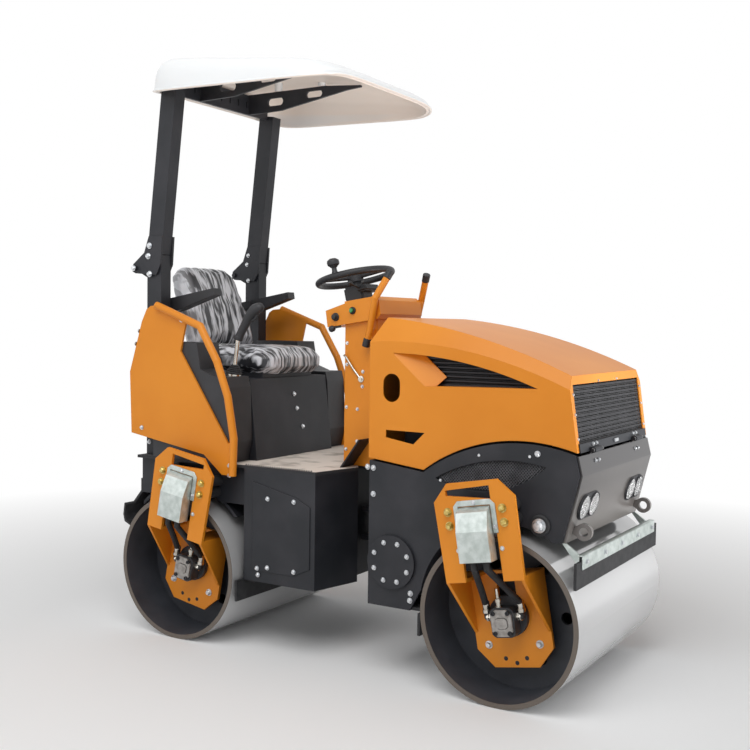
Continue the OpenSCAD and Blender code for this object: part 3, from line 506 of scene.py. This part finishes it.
def canopySkin(bm, inset):
    c = canopy
    rings = []
    for k, (share, rise, dome) in enumerate(c["rings"]):
        ring = []
        for i in range(c["count"]):
            u = 2 * math.pi * (i + 0.5) / c["count"]
            out = (c["length"] / 2 * share - inset) * bow(math.cos(u))
            rim = rimHeight(out, u)
            brow = c["crownZ"] - c["dome"] - c["fall"] * out
            z = rim if k == 0 else rim + (brow - rim) * rise + c["dome"] * dome - inset
            ring.append(bm.verts.new((c["centreX"] + out, (c["halfWidth"] * share - inset) * bow(math.sin(u)), z)))
        rings.append(ring)
    tip = bm.verts.new((c["centreX"], 0, c["crownZ"] - inset))
    n = c["count"]
    for a, b in zip(rings, rings[1:]):
        bridge(bm, a, b)
    for i in range(n):
        bm.faces.new((rings[-1][i], rings[-1][(i + 1) % n], tip))
    return rings[0]


bm = bmesh.new()
outer, inner = canopySkin(bm, 0), canopySkin(bm, canopy["skin"])
bridge(bm, outer, inner)
for x in canopy["bossX"]:
    for s in bothSides:
        addLathe(bm, [(canopy["bossRadius"], -32), (canopy["bossRadius"], -11 - canopy["fall"] * x)],
                 (canopy["centreX"] + x, s * canopy["bossY"], canopy["crownZ"]), (0, 0, 1), 24)
shell = makePiece("canopySkin", bm, canopyGelcoat, "mast", sharp=60)
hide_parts("canopy")
rim = []
for i in range(canopy["count"] + 1):
    u = 2 * math.pi * (i + 0.5) / canopy["count"]
    out = canopy["length"] / 2 * bow(math.cos(u))
    rim.append((canopy["centreX"] + out, canopy["halfWidth"] * bow(math.sin(u)), rimHeight(out, u) + 3))
rods("canopyRim", [rim], "mast", 6, canopyGelcoat, 10)
print("canopy done")

# Seat pads: foam blocks swelled by cloth pressure.
pads = {"voxel": 8, "pressure": 4.0, "frames": 20, "cap": 18, "foldMm": (110, 30, 110), "foldLift": 2.0}


def swell(made, cap):
    rest = [v.co.copy() for v in made.data.vertices]
    cloth = made.modifiers.new("foam", "CLOTH")
    cloth.settings.use_pressure = True
    cloth.settings.uniform_pressure_force = pads["pressure"]
    cloth.settings.effector_weights.gravity = 0
    cloth.settings.quality = 5
    for f in range(1, pads["frames"] + 1):
        scene.frame_set(f)
    grownMesh = evaluatedMesh(made)
    made.modifiers.clear()
    for v, home in zip(grownMesh.vertices, rest):
        step = v.co - home
        if step.length > cap * mm:
            v.co = home + step.normalized() * cap * mm
    made.data = grownMesh
    scene.frame_set(1)


def padForm(name, outline, low, high, place, crown):
    # a block with an outline, crowned on top, that is remeshed and swelled
    bm = bmesh.new()
    n, tall = len(outline), high - low
    levels = [(0.93, 0.0), (1.0, 0.18), (1.0, 0.7), (0.95, 0.9), (0.85, 1.0), (0.6, 1 + 0.6 * crown / tall),
              (0.3, 1 + 0.9 * crown / tall)]
    cx, cy = sum(p[0] for p in outline) / n, sum(p[1] for p in outline) / n
    rings = [[bm.verts.new(place(cx + (x - cx) * s, cy + (y - cy) * s, low + tall * t)) for x, y in outline]
             for s, t in levels]
    for a, b in zip(rings, rings[1:]):
        bridge(bm, a, b)
    bm.faces.new(rings[0])
    bm.faces.new(rings[-1])
    bmesh.ops.recalc_face_normals(bm, faces=bm.faces)
    bmesh.ops.triangulate(bm, faces=bm.faces)
    bmesh.ops.scale(bm, vec=(mm, mm, mm), verts=bm.verts)
    mesh = bpy.data.meshes.new(name)
    bm.to_mesh(mesh)
    bm.free()
    made = addObject(name, mesh)
    remesh = made.modifiers.new("even", "REMESH")
    remesh.mode, remesh.voxel_size, remesh.use_smooth_shade = "VOXEL", pads["voxel"] * mm, True
    made.data = evaluatedMesh(made)
    made.modifiers.clear()
    swell(made, pads["cap"])
    return made


def roundedBox(x0, x1, y0, y1, r, front):
    corners = [(x1 - front, y1 - front, 0, front), (x0 + r, y1 - r, 90, r), (x0 + r, y0 + r, 180, r),
               (x1 - front, y0 + front, 270, front)]
    steps = 6
    out = []
    for cx, cy, start, size in corners:
        for k in range(steps + 1):
            a = math.radians(start + 90 * k / steps)
            out.append((cx + size * math.cos(a), cy + size * math.sin(a)))
    return out


seat = {"rear": -866, "front": -422, "half": 226, "low": 1124, "high": 1198, "lean": math.radians(21),
        "corners": (30, 90), "hinge": (-860.5, 0, 1210)}
cushion = padForm("seatPad", roundedBox(seat["rear"], seat["front"], -seat["half"], seat["half"], *seat["corners"]),
                  seat["low"], seat["high"], lambda x, y, z: Vector((x, y, z)), 14)


def onBack(x, y, z):
    # the back's own plane: x is up its length, y across, z its thickness forward
    up = Vector((-math.sin(seat["lean"]), 0, math.cos(seat["lean"])))
    out = Vector((math.cos(seat["lean"]), 0, math.sin(seat["lean"])))
    return Vector(seat["hinge"]) + up * x + Vector((0, y, 0)) + out * z


backShape = [(0, -222), (150, -230), (280, -222), (360, -196), (396, -150), (404, -60), (404, 60), (396, 150),
             (360, 196), (280, 222), (150, 230), (0, 222)]
back = padForm("seatBackPad", backShape, -38, 26, onBack, 12)
for pad, node in ((cushion, "seat_cushion"), (back, "seat_back")):
    pad.data.materials.clear()
    pad.data.materials.append(filmedVinyl)
    for v in pad.data.vertices:  # loose film stands off the foam in long shallow folds
        lift = noise.noise(Vector([c * 1000 / f for c, f in zip(v.co, pads["foldMm"])])) * pads["foldLift"]
        v.co += v.normal * lift * mm
    for face in pad.data.polygons:
        face.use_smooth = True
    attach(pad, "rear_frame")
    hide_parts(node)
print("seat done")

yokeFace, yokeFoot, frameSide = 502, 340, 394


def onSide(y):
    return lambda a, b: Vector((a, y, b))


def onYokeSide(end, y):
    def place(u, w):
        x, z = onYoke(end, u, w)
        return Vector((x, y, z))
    return place


# Yokes: buffer bolts, the folded collar round each hose cover, nuts, and on the foot plate black discs painted as the
# shade inside its empty holes.
yoke = {"boltU": 105, "boltW": (398, 350), "collar": (80, 316, 434), "gap": (62, 414), "nutU": 99, "nutW": -104,
        "holes": ((-40, -154), (2, -170), (42, -153)), "small": ((-84, 262), (84, 262)),
        "clip": ((-71, 338), (71, 338), (0, 424)), "corner": 18, "sheet": 5}
for end, body in ends:
    big, small, nuts = [], [], []
    collar, holes = bmesh.new(), bmesh.new()
    for s in bothSides:
        aim = (0, s, 0)
        for u in (-yoke["boltU"], yoke["boltU"]):
            big += [(*onYokeSide(end, s * yokeFace)(u, w), *aim) for w in yoke["boltW"]]
        small += [(*onYokeSide(end, s * yokeFace)(*p), *aim) for p in yoke["small"]]
        small += [(*onYokeSide(end, s * (yokeFace + yoke["sheet"]))(*p), *aim) for p in yoke["clip"]]
        nuts += [(*onYokeSide(end, s * yokeFoot)(u, yoke["nutW"]), *aim) for u in (-yoke["nutU"], yoke["nutU"])]
        half, low, high = yoke["collar"]
        inner, top = yoke["gap"]
        r = yoke["corner"]
        addPrism(collar, [(-half, low), (-half, high - r), (r - half, high), (half - r, high), (half, high - r),
                          (half, low), (inner, low), (inner, top), (-inner, top), (-inner, low)],
                 onYokeSide(end, s * yokeFace), (0, s * yoke["sheet"], 0))
        # painted shade: a black disc stands in for the dark inside of each empty hole
        for p in yoke["holes"]:
            addLathe(holes, [(0, 0.4), (8, 0.4), (8, -2)], onYokeSide(end, s * yokeFoot)(*p), aim, 20)
    bolts(end + "YokeBolts", big, body, 13, yellowZinc)
    bolts(end + "CollarBolts", small, body, 7)
    bolts(end + "FootNuts", nuts, body, 12)
    makePiece(end + "Collar", collar, spangleZinc, body, bevel=1.2)
    makePiece(end + "FootHoleShade", holes, blackRubber, body)
print("yokes done")

# Drive motors: alloy end cover with a raised pad and four socket screws, and nickel unions on the hoses.
motor = {"face": 410, "half": (40, 47), "centre": -12, "plate": 9, "screws": (28, 35), "port": (66, 385),
         "corner": 18, "pad": (0.6, 0.42, 3), "drain": (392, -14, 36)}
for end, body in ends:
    cover, screws, unions = bmesh.new(), bmesh.new(), bmesh.new()
    for s in bothSides:
        a, b = motor["half"]
        c = motor["centre"]
        r = motor["corner"]
        outline = [(u, w + c) for u, w in ((-a, r - b), (r - a, -b), (a - r, -b), (a, r - b), (a, b - r), (a - r, b),
                                           (r - a, b), (-a, b - r))]
        addPrism(cover, outline, onYokeSide(end, s * motor["face"]), (0, s * motor["plate"], 0))
        onFace = onYokeSide(end, s * (motor["face"] + motor["plate"]))
        wide, tall, lift = motor["pad"]
        addPrism(cover, [(u * wide, c + (w - c) * tall) for u, w in outline], onFace, (0, lift * s, 0))
        for u in bothSides:
            for w in bothSides:
                at = onFace(u * motor["screws"][0], c + w * motor["screws"][1])
                addLathe(screws, [(0, 3), (4, 3), (4.5, 6), (7.5, 6), (8, 5), (8, -1)], at, (0, s, 0), 16)
            u0, y0 = motor["port"]
            onPort = onYokeSide(end, s * y0)
            up, out = onPort(0, 1) - onPort(0, 0), onPort(u, 0) - onPort(0, 0)
            addLathe(unions, [(0, 0), (15, 0), (15, 10), (13.4, 10), (13.4, 14), (16, 14), (16, 22), (0, 22)],
                     onPort(u * (u0 - 21), 5), out, 6)
            addLathe(unions, [(0, 0), (15.5, 0), (15.5, 12), (13, 13), (13.6, 14), (13.6, 40), (12.6, 42), (0, 42)],
                     onPort(u * (u0 + 1), 20), up, 18)
        drainY, drainU, drainW = motor["drain"]
        drain = onYokeSide(end, s * drainY)
        addLathe(unions, [(0, 0), (13, 0), (13, 8), (9, 9), (9, 22), (12, 22), (12, 34), (7, 36), (7, 70), (0, 70)],
                 drain(drainU, drainW), drain(0, 1) - drain(0, 0), 12)
    makePiece(end + "MotorCovers", cover, bareAlloy, body, bevel=2.5)
    makePiece(end + "MotorScrews", screws, powderBlack, body)
    makePiece(end + "HoseUnions", unions, brightSteel, body, bevel=0.6)
print("motors done")

# Frame fasteners, seen as the photograph has them and repeated on the far side.
ringPlate = {"centre": (273.4, 442), "radius": 76, "angles": [math.radians(22.5 + 45 * k) for k in range(8)]}
ringSpots = [(ringPlate["centre"][0] + ringPlate["radius"] * math.cos(a),
              ringPlate["centre"][1] + ringPlate["radius"] * math.sin(a)) for a in ringPlate["angles"]]
fasteners = {
    "front_frame": ((9, [(163, 790), (188, 788), (189, 689), (355, 334), (353, 307), (846, 890)], frameSide),
                    (4.5, [(472, 766), (624, 868), (817, 878)], frameSide), (8, ringSpots, frameSide + 12)),
    "rear_frame": ((8, [(-288, 626), (-160, 626), (-158, 349), (-287, 349), (-338, 341), (-333, 315)], 419),
                   (8, [(-946, 806)], frameSide),
                   (8, [(-730, 1332), (-950, 871), (-470, 746), (-470, 706)], 435),
                   (6, [(-94, 1248), (-94, 1161), (-94, 987), (-94, 815), (-41, 981), (-41, 850), (-17, 1134),
                        (-19, 1074)], 150)),
    "mast": ((11, [(-961, 1649), (-968, 1605), (-960, 1528)], 380),)}
for body, groups in fasteners.items():
    for k, (size, spots, y) in enumerate(groups):
        bolts("%sBolts%d" % (body.split("_")[0], k), [(x, s * y, z, 0, s, 0) for x, z in spots for s in bothSides],
              body, size)
bolts("mastBoltEnds", [(x, s * 300, z, 0, -s, 0) for x, z in fasteners["mast"][0][1] for s in bothSides],
      "mast", 8)
baseSpots = ((-481.5, 22, 1014), (-474, 34, 951), (-464.3, 66, 869))
bolts("seatBaseBolts", [(*spot, 1, 0, 0.118) for spot in baseSpots], "rear_frame", 8)
bolts("foldPinHeads", [(-1042.5, s * 392, 1554, 0, s, 0) for s in bothSides], "rear_frame", 10)
bolts("panelEdgeBolts", [(x, s * 429, z, -1, 0, 0.3) for x, z in ((-969, 1283), (-988, 1228)) for s in bothSides],
      "rear_frame", 8)

# The nose pivot bolt sits on a thick rubber washer.
pivotBolt = {"x": 862, "z": 645, "washer": 37, "thick": 12, "thread": 21}
bm = bmesh.new()
r, t = pivotBolt["washer"], pivotBolt["thick"]
for s in bothSides:
    addLathe(bm, [(0, 0), (r, 0), (r, t - 4), (r - 4, t), (0, t)], (pivotBolt["x"], s * frameSide, pivotBolt["z"]),
             (0, s, 0), 40)
makePiece("pivotWashers", bm, blackRubber, "front_frame")
bolts("pivotBolts", [(pivotBolt["x"], s * (frameSide + t), pivotBolt["z"], 0, s, 0) for s in bothSides],
      "front_frame", pivotBolt["thread"])

# Step box: a bolted inspection plate with a cut corner.
stepPlate = {"outline": [(-365, 690), (-150, 642), (-84, 610), (-84, 366), (-164, 330), (-365, 330)], "y": 415,
             "thick": 4}
bm = bmesh.new()
for s in bothSides:
    addPrism(bm, stepPlate["outline"], onSide(s * stepPlate["y"]), (0, s * stepPlate["thick"], 0))
makePiece("inspectionPlates", bm, powderBlack, "rear_frame", bevel=1)

# Floor edge: teeth stamped along the step so that a boot holds.
teeth = {"from": -405, "to": -75, "pitch": 11, "y": 415, "z": 751, "size": 5}
bm = bmesh.new()
for k in range(int((teeth["to"] - teeth["from"]) / teeth["pitch"])):
    x = teeth["from"] + k * teeth["pitch"]
    for s in bothSides:
        addPrism(bm, [(x, teeth["z"] - 1), (x + teeth["size"] / 2, teeth["z"] + teeth["size"]),
                      (x + teeth["size"], teeth["z"] - 1)], onSide(s * teeth["y"]), (0, -6 * s, 0))
makePiece("floorTeeth", bm, powderBlack, "rear_frame")
print("fasteners done")

# Expanded mesh: strands that lean one way and the other inside the arch's lens, on its backing plate.
lens = {"low": (756.5, 270, 588), "high": (610.5, 1130, 392), "pitch": 22, "rise": 12, "y": 383.5,
        "from": (470, 740)}


def inLens(x, z):
    return all(math.hypot(x - cx, z - cz) < r + 4 for cx, cz, r in (lens["low"], lens["high"]))


strands = []
for k in range(-30, 60):
    for lean in bothSides:
        run = []
        for i in range(60):
            x = lens["from"][0] + i * lens["pitch"] / 2
            z = lens["from"][1] + lens["rise"] * (k + lean * (0.5 if i % 2 else -0.5))
            if inLens(x, z):
                run.append((x, z))
                continue
            if len(run) > 1:
                strands.append(run)
            run = []
        if len(run) > 1:
            strands.append(run)
rods("archMesh", [[(x, s * lens["y"], z) for x, z in run] for run in strands for s in bothSides], "front_frame", 1.7,
     strandGrey, 4)

# Hood screens: fine wires over the louvres, on a black sheet that is painted shade for the dark space behind them.
grille = {"x": 983.5, "z": 910, "lean": math.radians(8.2), "half": 352, "low": 12, "high": 224, "pitch": 5.5,
          "rowOut": -5.6, "barOut": -6.4, "barTop": 206, "barPitch": 34, "bars": 10, "shadeOut": -17}


def onGrille(out, y, z):
    c, s = math.cos(grille["lean"]), math.sin(grille["lean"])
    return Vector((grille["x"] + out * c - z * s, y, grille["z"] + out * s + z * c))


def grilleHalf(z):
    return min(grille["half"], grille["half"] + 15 - (z - 186) / 1.4)


rows = int((grille["high"] - grille["low"]) / grille["pitch"])
wires = []
for z in [grille["low"] + k * grille["pitch"] for k in range(rows)]:
    wires.append([onGrille(grille["rowOut"], s * grilleHalf(z), z) for s in bothSides])
for k in range(-grille["bars"], grille["bars"] + 1):
    wires.append([onGrille(grille["barOut"], k * grille["barPitch"], z) for z in (grille["low"], grille["barTop"])])
rods("grilleWires", wires, "hood", 1.5, meshBlack, 5)
# painted shade: black sheets behind the grille and the vents stand in for the dark inside of the hood
bm = bmesh.new()
addPrism(bm, [(-350, 12), (350, 12), (350, 186), (322, 222), (-322, 222), (-350, 186)],
         lambda y, z: onGrille(grille["shadeOut"], y, z), onGrille(-2, 0, 0) - onGrille(0, 0, 0))
vent = {"outline": [(272, 1206), (395, 1103), (830, 1112), (838, 1128), (700, 1173), (560, 1206), (400, 1224),
                    (300, 1226)], "shadeY": 318, "wireY": 333, "low": 1104, "rows": 22, "inset": 6}
for s in bothSides:
    addPrism(bm, vent["outline"], onSide(s * vent["shadeY"]), (0, -2 * s, 0))
makePiece("screenShadeSheet", bm, blackRubber, "hood")
wires = []
for k in range(vent["rows"]):
    z = vent["low"] + k * grille["pitch"]
    cross = []
    for (x0, z0), (x1, z1) in zip(vent["outline"], vent["outline"][1:] + vent["outline"][:1]):
        if (z0 - z) * (z1 - z) < 0:
            cross.append(x0 + (x1 - x0) * (z - z0) / (z1 - z0))
    if len(cross) == 2:
        xs = (min(cross) + vent["inset"], max(cross) - vent["inset"])
        wires += [[(x, s * vent["wireY"], z) for x in xs] for s in bothSides]
rods("ventWires", wires, "hood", 1.3, meshBlack, 5)

# Hood front: frame screws, latch, two screws on each leaf of the hinges, and the scraper strip below.
normal = onGrille(1, 0, 0) - onGrille(0, 0, 0)
spots = [(0, s * 363, z) for s in bothSides for z in (36, 120, 188)] + [(0, s * 100, 228) for s in bothSides]
bolts("grilleScrews", [(*onGrille(*p), *normal) for p in spots], "hood", 4.5)
hinge = {"y": 222, "screw": 17, "lower": (996.5, 864)}
bolts("hingeScrewsUpper", [(*onGrille(5, s * hinge["y"] + k * hinge["screw"], 11), *normal)
                           for s in bothSides for k in bothSides], "hood", 6)
slope = Vector((0.972, 0, 0.236))
lowerX, lowerZ = hinge["lower"]
bolts("hingeScrewsLower", [(*(Vector((lowerX, s * hinge["y"] + k * hinge["screw"], lowerZ)) + slope), *slope)
                           for s in bothSides for k in bothSides], "front_frame", 6)
bm = bmesh.new()
addPrism(bm, [(-22, -2), (22, -2), (22, 10), (-22, 10)], lambda y, z: onGrille(5, y, z), normal * 6)
makePiece("hoodLatch", bm, zincBolt, "hood", bevel=1.5)
strip = {"x": 1016.6, "thick": 5, "low": 512, "high": 560, "half": 405}
bm = bmesh.new()
addPrism(bm, [(-strip["half"], strip["low"]), (strip["half"], strip["low"]), (strip["half"], strip["high"]),
              (-strip["half"], strip["high"])], lambda y, z: Vector((strip["x"], y, z)), (strip["thick"], 0, 0))
addPrism(bm, [(-strip["half"], 0), (strip["half"], 0), (strip["half"], -16), (-strip["half"], -16)],
         lambda y, x: Vector((strip["x"] + 1 + x, y, strip["high"] - 4)), (0, 0, 4))
makePiece("scraperStrip", bm, spangleZinc, "front_frame", bevel=1)
bolts("scraperBolts", [(strip["x"] + strip["thick"], y, 536, 1, 0, 0) for y in (-370, -185, 0, 185, 370)],
      "front_frame", 8)
print("hood done")

# Head lamps: pressed bowl cut in flats, bulb, domed lens, thin bezel, and round each pair one dark oval plate that is
# painted shade for the recess the pair sits in.
lamp = {"x": 978.5, "z": 707.5, "ys": (206, 298), "aim": Vector((0.972, 0, -0.2335)), "shadeOval": 48, "steps": 48}
bowls, lenses, bezelsAndShade = bmesh.new(), bmesh.new(), bmesh.new()
across = Vector((0, 1, 0))
rise = lamp["aim"].cross(across)
for s in bothSides:
    for y in lamp["ys"]:
        at = Vector((lamp["x"], s * y, lamp["z"])) + lamp["aim"] * 2
        addLathe(bowls, [(41, 4), (34, -10), (23, -20), (12, -25), (0, -26)], at, lamp["aim"], 14)
        addLathe(bowls, [(0, -4), (5, -6), (6, -12), (6, -24)], at, lamp["aim"], 10)
        addLathe(lenses, [(42, 4), (42, 6), (35, 9.5), (22, 12.5), (10, 14), (0, 14.4), (0, 12.4), (10, 12),
                          (22, 10.5), (35, 7.5), (41, 4)], at, lamp["aim"], 40)
        addLathe(bezelsAndShade, [(41.5, 3), (41.5, 6), (43, 7), (45, 5), (45, -34), (0, -34), (0, -30), (41.5, -30),
                          (41.5, 3)], at, lamp["aim"], 40)
    # painted shade: a flat dark oval round the pair stands in for the shade of the recess round the lamps
    mid = Vector((lamp["x"], s * sum(lamp["ys"]) / 2, lamp["z"]))
    rim, n = [], lamp["steps"]
    for k in range(n):
        t = 2 * math.pi * k / n
        shift = (lamp["ys"][1] - lamp["ys"][0]) / 2 * (1 if math.cos(t) > 0 else -1)
        rim.append(mid + across * (shift + lamp["shadeOval"] * math.cos(t)) + rise * (lamp["shadeOval"] * math.sin(t)))
    low = [bezelsAndShade.verts.new(p + lamp["aim"] * 0.2) for p in rim]
    high = [bezelsAndShade.verts.new(p + lamp["aim"] * 2.2) for p in rim]
    bridge(bezelsAndShade, low, high)
    bezelsAndShade.faces.new(high)
bowl = makePiece("lampBowls", bowls, mirrorBowl, "front_frame", sharp=5)
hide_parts("head_lamps")
makePiece("lampLenses", lenses, clearLens, "front_frame")
makePiece("lampBezelsAndShadeOvals", bezelsAndShade, mouldedAbs, "front_frame")
print("lamps done")

# Controls: key switch, green starter button, throttle lever on the column, knob under the dash, handle caps.
dash = {"x": -178, "z": 1311, "lean": math.radians(8.6)}


def onDash(x, z, y):
    c, s = math.cos(dash["lean"]), math.sin(dash["lean"])
    return Vector((dash["x"] + x * c - z * s, y, dash["z"] + x * s + z * c))


bm = bmesh.new()
addLathe(bm, [(0, 0), (8.5, 0), (8.5, 5), (7, 7), (0, 7.4)], onDash(130, 50, -180), (0, -1, 0), 28)
makePiece("starterButton", bm, buttonGreen, "rear_frame")
bm = bmesh.new()
addLathe(bm, [(0, 0), (17, 0), (17, 3), (13.5, 5), (13.5, 12), (0, 12)], onDash(45, 36, -170), (0, -1, 0), 32)
addLathe(bm, [(0, 10), (10, 10), (11.5, 14), (9, 19), (0, 20)], onDash(45, 36, -170), (0, -1, 0), 24)
addLathe(bm, [(11.5, 0), (15, 0), (15, 4), (11.5, 8), (11.5, 0)], onDash(130, 50, -170), (0, -1, 0), 28)
addTube(bm, smoothPath([(-120, -158, 1316), (-140, -164, 1312), (-158, -166, 1306)]), 5, 12)
addLathe(bm, [(0, -4), (9, -4), (13, 2), (13, 14), (9, 20), (0, 21)], (-150, -166, 1308), (-0.9, -0.2, -0.35), 20)
handle = {"low": ((13, 178, 1241), (32, 182, 1296)), "high": ((105, 150, 1534), (60, 190, 1429))}
for s in bothSides:
    for tip, inner in handle.values():
        tip, inner = (Vector((p[0], s * p[1], p[2])) for p in (tip, inner))
        addLathe(bm, [(0, -5), (14, -5), (15.8, -3), (15.8, 28), (14.2, 30), (14.2, 2), (0, 2)], tip, inner - tip, 28)
makePiece("controlKnobs", bm, mouldedAbs, "rear_frame")
bm = bmesh.new()
addTube(bm, smoothPath([(-24, -156, 1104), (-60, -157, 1146), (-92, -160, 1190), (-100, -166, 1200)]), 4.5, 12)
addLathe(bm, [(0, 0), (13, 0), (13, 5), (8, 6), (8, 12), (0, 12)], (-24, -150, 1104), (0, -1, 0), 24)
makePiece("throttleLever", bm, brightSteel, "rear_frame")

# Steering head: shroud with two stalks and a switch pod under the wheel, and the spinner knob on the rim.
steer = {"x": -155, "z": 1520, "lean": math.radians(13)}


def onSteer(x, y, z):
    c, s = math.cos(steer["lean"]), math.sin(steer["lean"])
    return Vector((steer["x"] + x * c - z * s, y, steer["z"] + x * s + z * c))


bm = bmesh.new()
shroud = [(-44, -38), (44, -38), (48, -90), (36, -118), (-30, -118), (-44, -86)]
addPrism(bm, shroud, lambda x, z: onSteer(x, -42, z), (0, 84, 0))
addPrism(bm, [(30, -44), (78, -44), (78, -72), (30, -72)], lambda x, z: onSteer(x, -60, z), (0, 120, 0))
makePiece("steeringShroud", bm, mouldedAbs, "rear_frame", bevel=7, segments=3)
bm = bmesh.new()
for s in bothSides:
    addTube(bm, smoothPath([onSteer(40, s * 40, -58), onSteer(48, s * 80, -52), onSteer(50, s * 128, -40)]), 4.5, 10)
    addLathe(bm, [(0, -22), (6, -22), (8, -8), (8, 8), (6, 14), (0, 15)], onSteer(50, s * 128, -40),
             (0.1, s, 0.25), 14)
makePiece("steeringStalks", bm, mouldedAbs, "rear_frame")
bm = bmesh.new()
turn = onSteer(0, 0, 1) - onSteer(0, 0, 0)
addLathe(bm, [(0, 12), (14, 12), (11, 22), (10, 34), (15, 40), (24, 47), (26, 56), (24, 66), (14, 73), (0, 75)],
         onSteer(0, -150, 0), turn, 32)
makePiece("spinnerKnob", bm, mouldedAbs, "wheel")

# Travel lever: ribbed boot over the joint, and a hand grip with a bowed head.
lever = {"y": -340, "footX": -528.5, "footZ": 1104, "radii": [19, 17, 18, 21, 24, 17],
         "grip": [(-506, 1256), (-492, 1282), (-472, 1314), (-448, 1350), (-416, 1380), (-380, 1392)], "steps": 6,
         "catch": [(-452, 1332), (-432, 1334), (-416, 1346), (-408, 1362)]}
bm = bmesh.new()
path = smoothPath([(x, lever["y"], z) for x, z in lever["grip"]], lever["steps"])
radii = []
for k in range(len(path)):
    near, far = (lever["radii"][min(k // lever["steps"] + j, len(lever["radii"]) - 1)] for j in (0, 1))
    radii.append(near + (far - near) * (k % lever["steps"]) / lever["steps"])
radii[-1], radii[-2] = 8, 15
addTube(bm, path, radii, 20)
addLathe(bm, [(0, -6), (20, -6), (21, 0), (20, 8), (0, 8)], (-506, lever["y"], 1262), (0.3, 0, 1), 28)
addTube(bm, smoothPath([(x, lever["y"], z) for x, z in lever["catch"]]), 6, 10)
grip = makePiece("leverGrip", bm, mouldedAbs, "rear_frame", sharp=50)
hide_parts("lever_grip")
bm = bmesh.new()
profile = [(0, 10), (33, 10), (34, 16)]
for k in range(4):
    profile += [(28 - 4 * k, 20 + 7 * k), (30 - 4 * k, 24 + 7 * k)]
addLathe(bm, profile + [(12, 48), (0, 48)], (lever["footX"], lever["y"], lever["footZ"]), (0.14, 0, 1), 32)
makePiece("leverBoot", bm, blackRubber, "rear_frame")
print("controls done")

# Camera from the photograph.
camera = {"place": (2.2406, -3.7687, 1.3295), "azimuth": 31.301, "elevation": 2.795, "roll": 0.795, "focal": 1056.87,
          "pixels": 750, "sensor": 36}
a, e, r = (math.radians(camera[k]) for k in ("azimuth", "elevation", "roll"))
behind = Vector((math.sin(a) * math.cos(e), -math.cos(a) * math.cos(e), math.sin(e)))
right = (-behind).cross(Vector((0, 0, 1))).normalized()
up = right.cross(-behind)
rightRolled, upRolled = right * math.cos(r) + up * math.sin(r), -right * math.sin(r) + up * math.cos(r)
lensData = bpy.data.cameras.new("photoCamera")
lensData.sensor_width = camera["sensor"]
lensData.lens = camera["focal"] * camera["sensor"] / camera["pixels"]
eye = addObject("photoCamera", lensData)
eye.matrix_world = Matrix.Translation(camera["place"]) @ Matrix((rightRolled, upRolled, behind)).transposed().to_4x4()
scene.camera = eye

# Studio: white world, pale floor that fades into it, soft lamps, and one from below for the canopy.
studio = {"world": 0.42, "fade": (1.6, 4.5)}
lamps = {"key": {"energy": 165, "place": (1.0, -3.2, 5.2), "target": (0, 0, 0.9), "size": 4.0, "spread": 180},
         "fill": {"energy": 26, "place": (-2.5, -4.8, 2.6), "target": (0, 0, 0.9), "size": 3.0, "spread": 180},
         "bounce": {"energy": 12, "place": (2.6, 0.1, 0.3), "target": (-0.5, 0, 1.9), "size": 1.2, "spread": 70}}
world = bpy.data.worlds.new("studio")
scene.world = world
world.use_nodes = True
tree = world.node_tree
tree.nodes.clear()


def showsWhite(tree):
    rays = addNode(tree, "ShaderNodeLightPath").outputs
    seen = calc(tree, "MAXIMUM", rays["Is Camera Ray"], rays["Is Glossy Ray"])
    return calc(tree, "MAXIMUM", seen, rays["Is Transmission Ray"])


lighting = addNode(tree, "ShaderNodeBackground", {"Color": (1, 1, 1, 1), "Strength": studio["world"]})
white = addNode(tree, "ShaderNodeBackground", {"Color": (1, 1, 1, 1), "Strength": 1.0})
pick = addNode(tree, "ShaderNodeMixShader", {0: showsWhite(tree), 1: lighting.outputs[0], 2: white.outputs[0]})
addNode(tree, "ShaderNodeOutputWorld", {"Surface": pick.outputs[0]})

floorMaterial, tree, shader, place = newMaterial("studioFloor", {"Base Color": linear("#f4f4f4"), "Roughness": 0.9})
away = addNode(tree, "ShaderNodeVectorMath", {0: place}, operation="LENGTH").outputs["Value"]
glow = addNode(tree, "ShaderNodeEmission", {"Color": (1, 1, 1, 1), "Strength": 1.0})
share = calc(tree, "MULTIPLY", span(tree, away, *studio["fade"]), showsWhite(tree))
mixed = addNode(tree, "ShaderNodeMixShader", {0: share, 1: shader.outputs[0], 2: glow.outputs[0]})
tree.links.new(mixed.outputs[0], tree.nodes["Material Output"].inputs["Surface"])
bm = bmesh.new()
bmesh.ops.create_circle(bm, cap_ends=True, radius=60, segments=64)
mesh = bpy.data.meshes.new("floor")
bm.to_mesh(mesh)
bm.free()
mesh.materials.append(floorMaterial)
floor = addObject("floor", mesh)
floor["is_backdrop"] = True

for name, soft in lamps.items():
    data = bpy.data.lights.new(name + "Lamp", "AREA")
    data.size, data.energy, data.spread = soft["size"], soft["energy"], math.radians(soft["spread"])
    lit = addObject(name + "Lamp", data)
    lit.location = soft["place"]
    lit.rotation_euler = (Vector(soft["target"]) - Vector(soft["place"])).to_track_quat("-Z", "Y").to_euler()
    lit.visible_camera = False
print("studio done")

low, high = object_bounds()
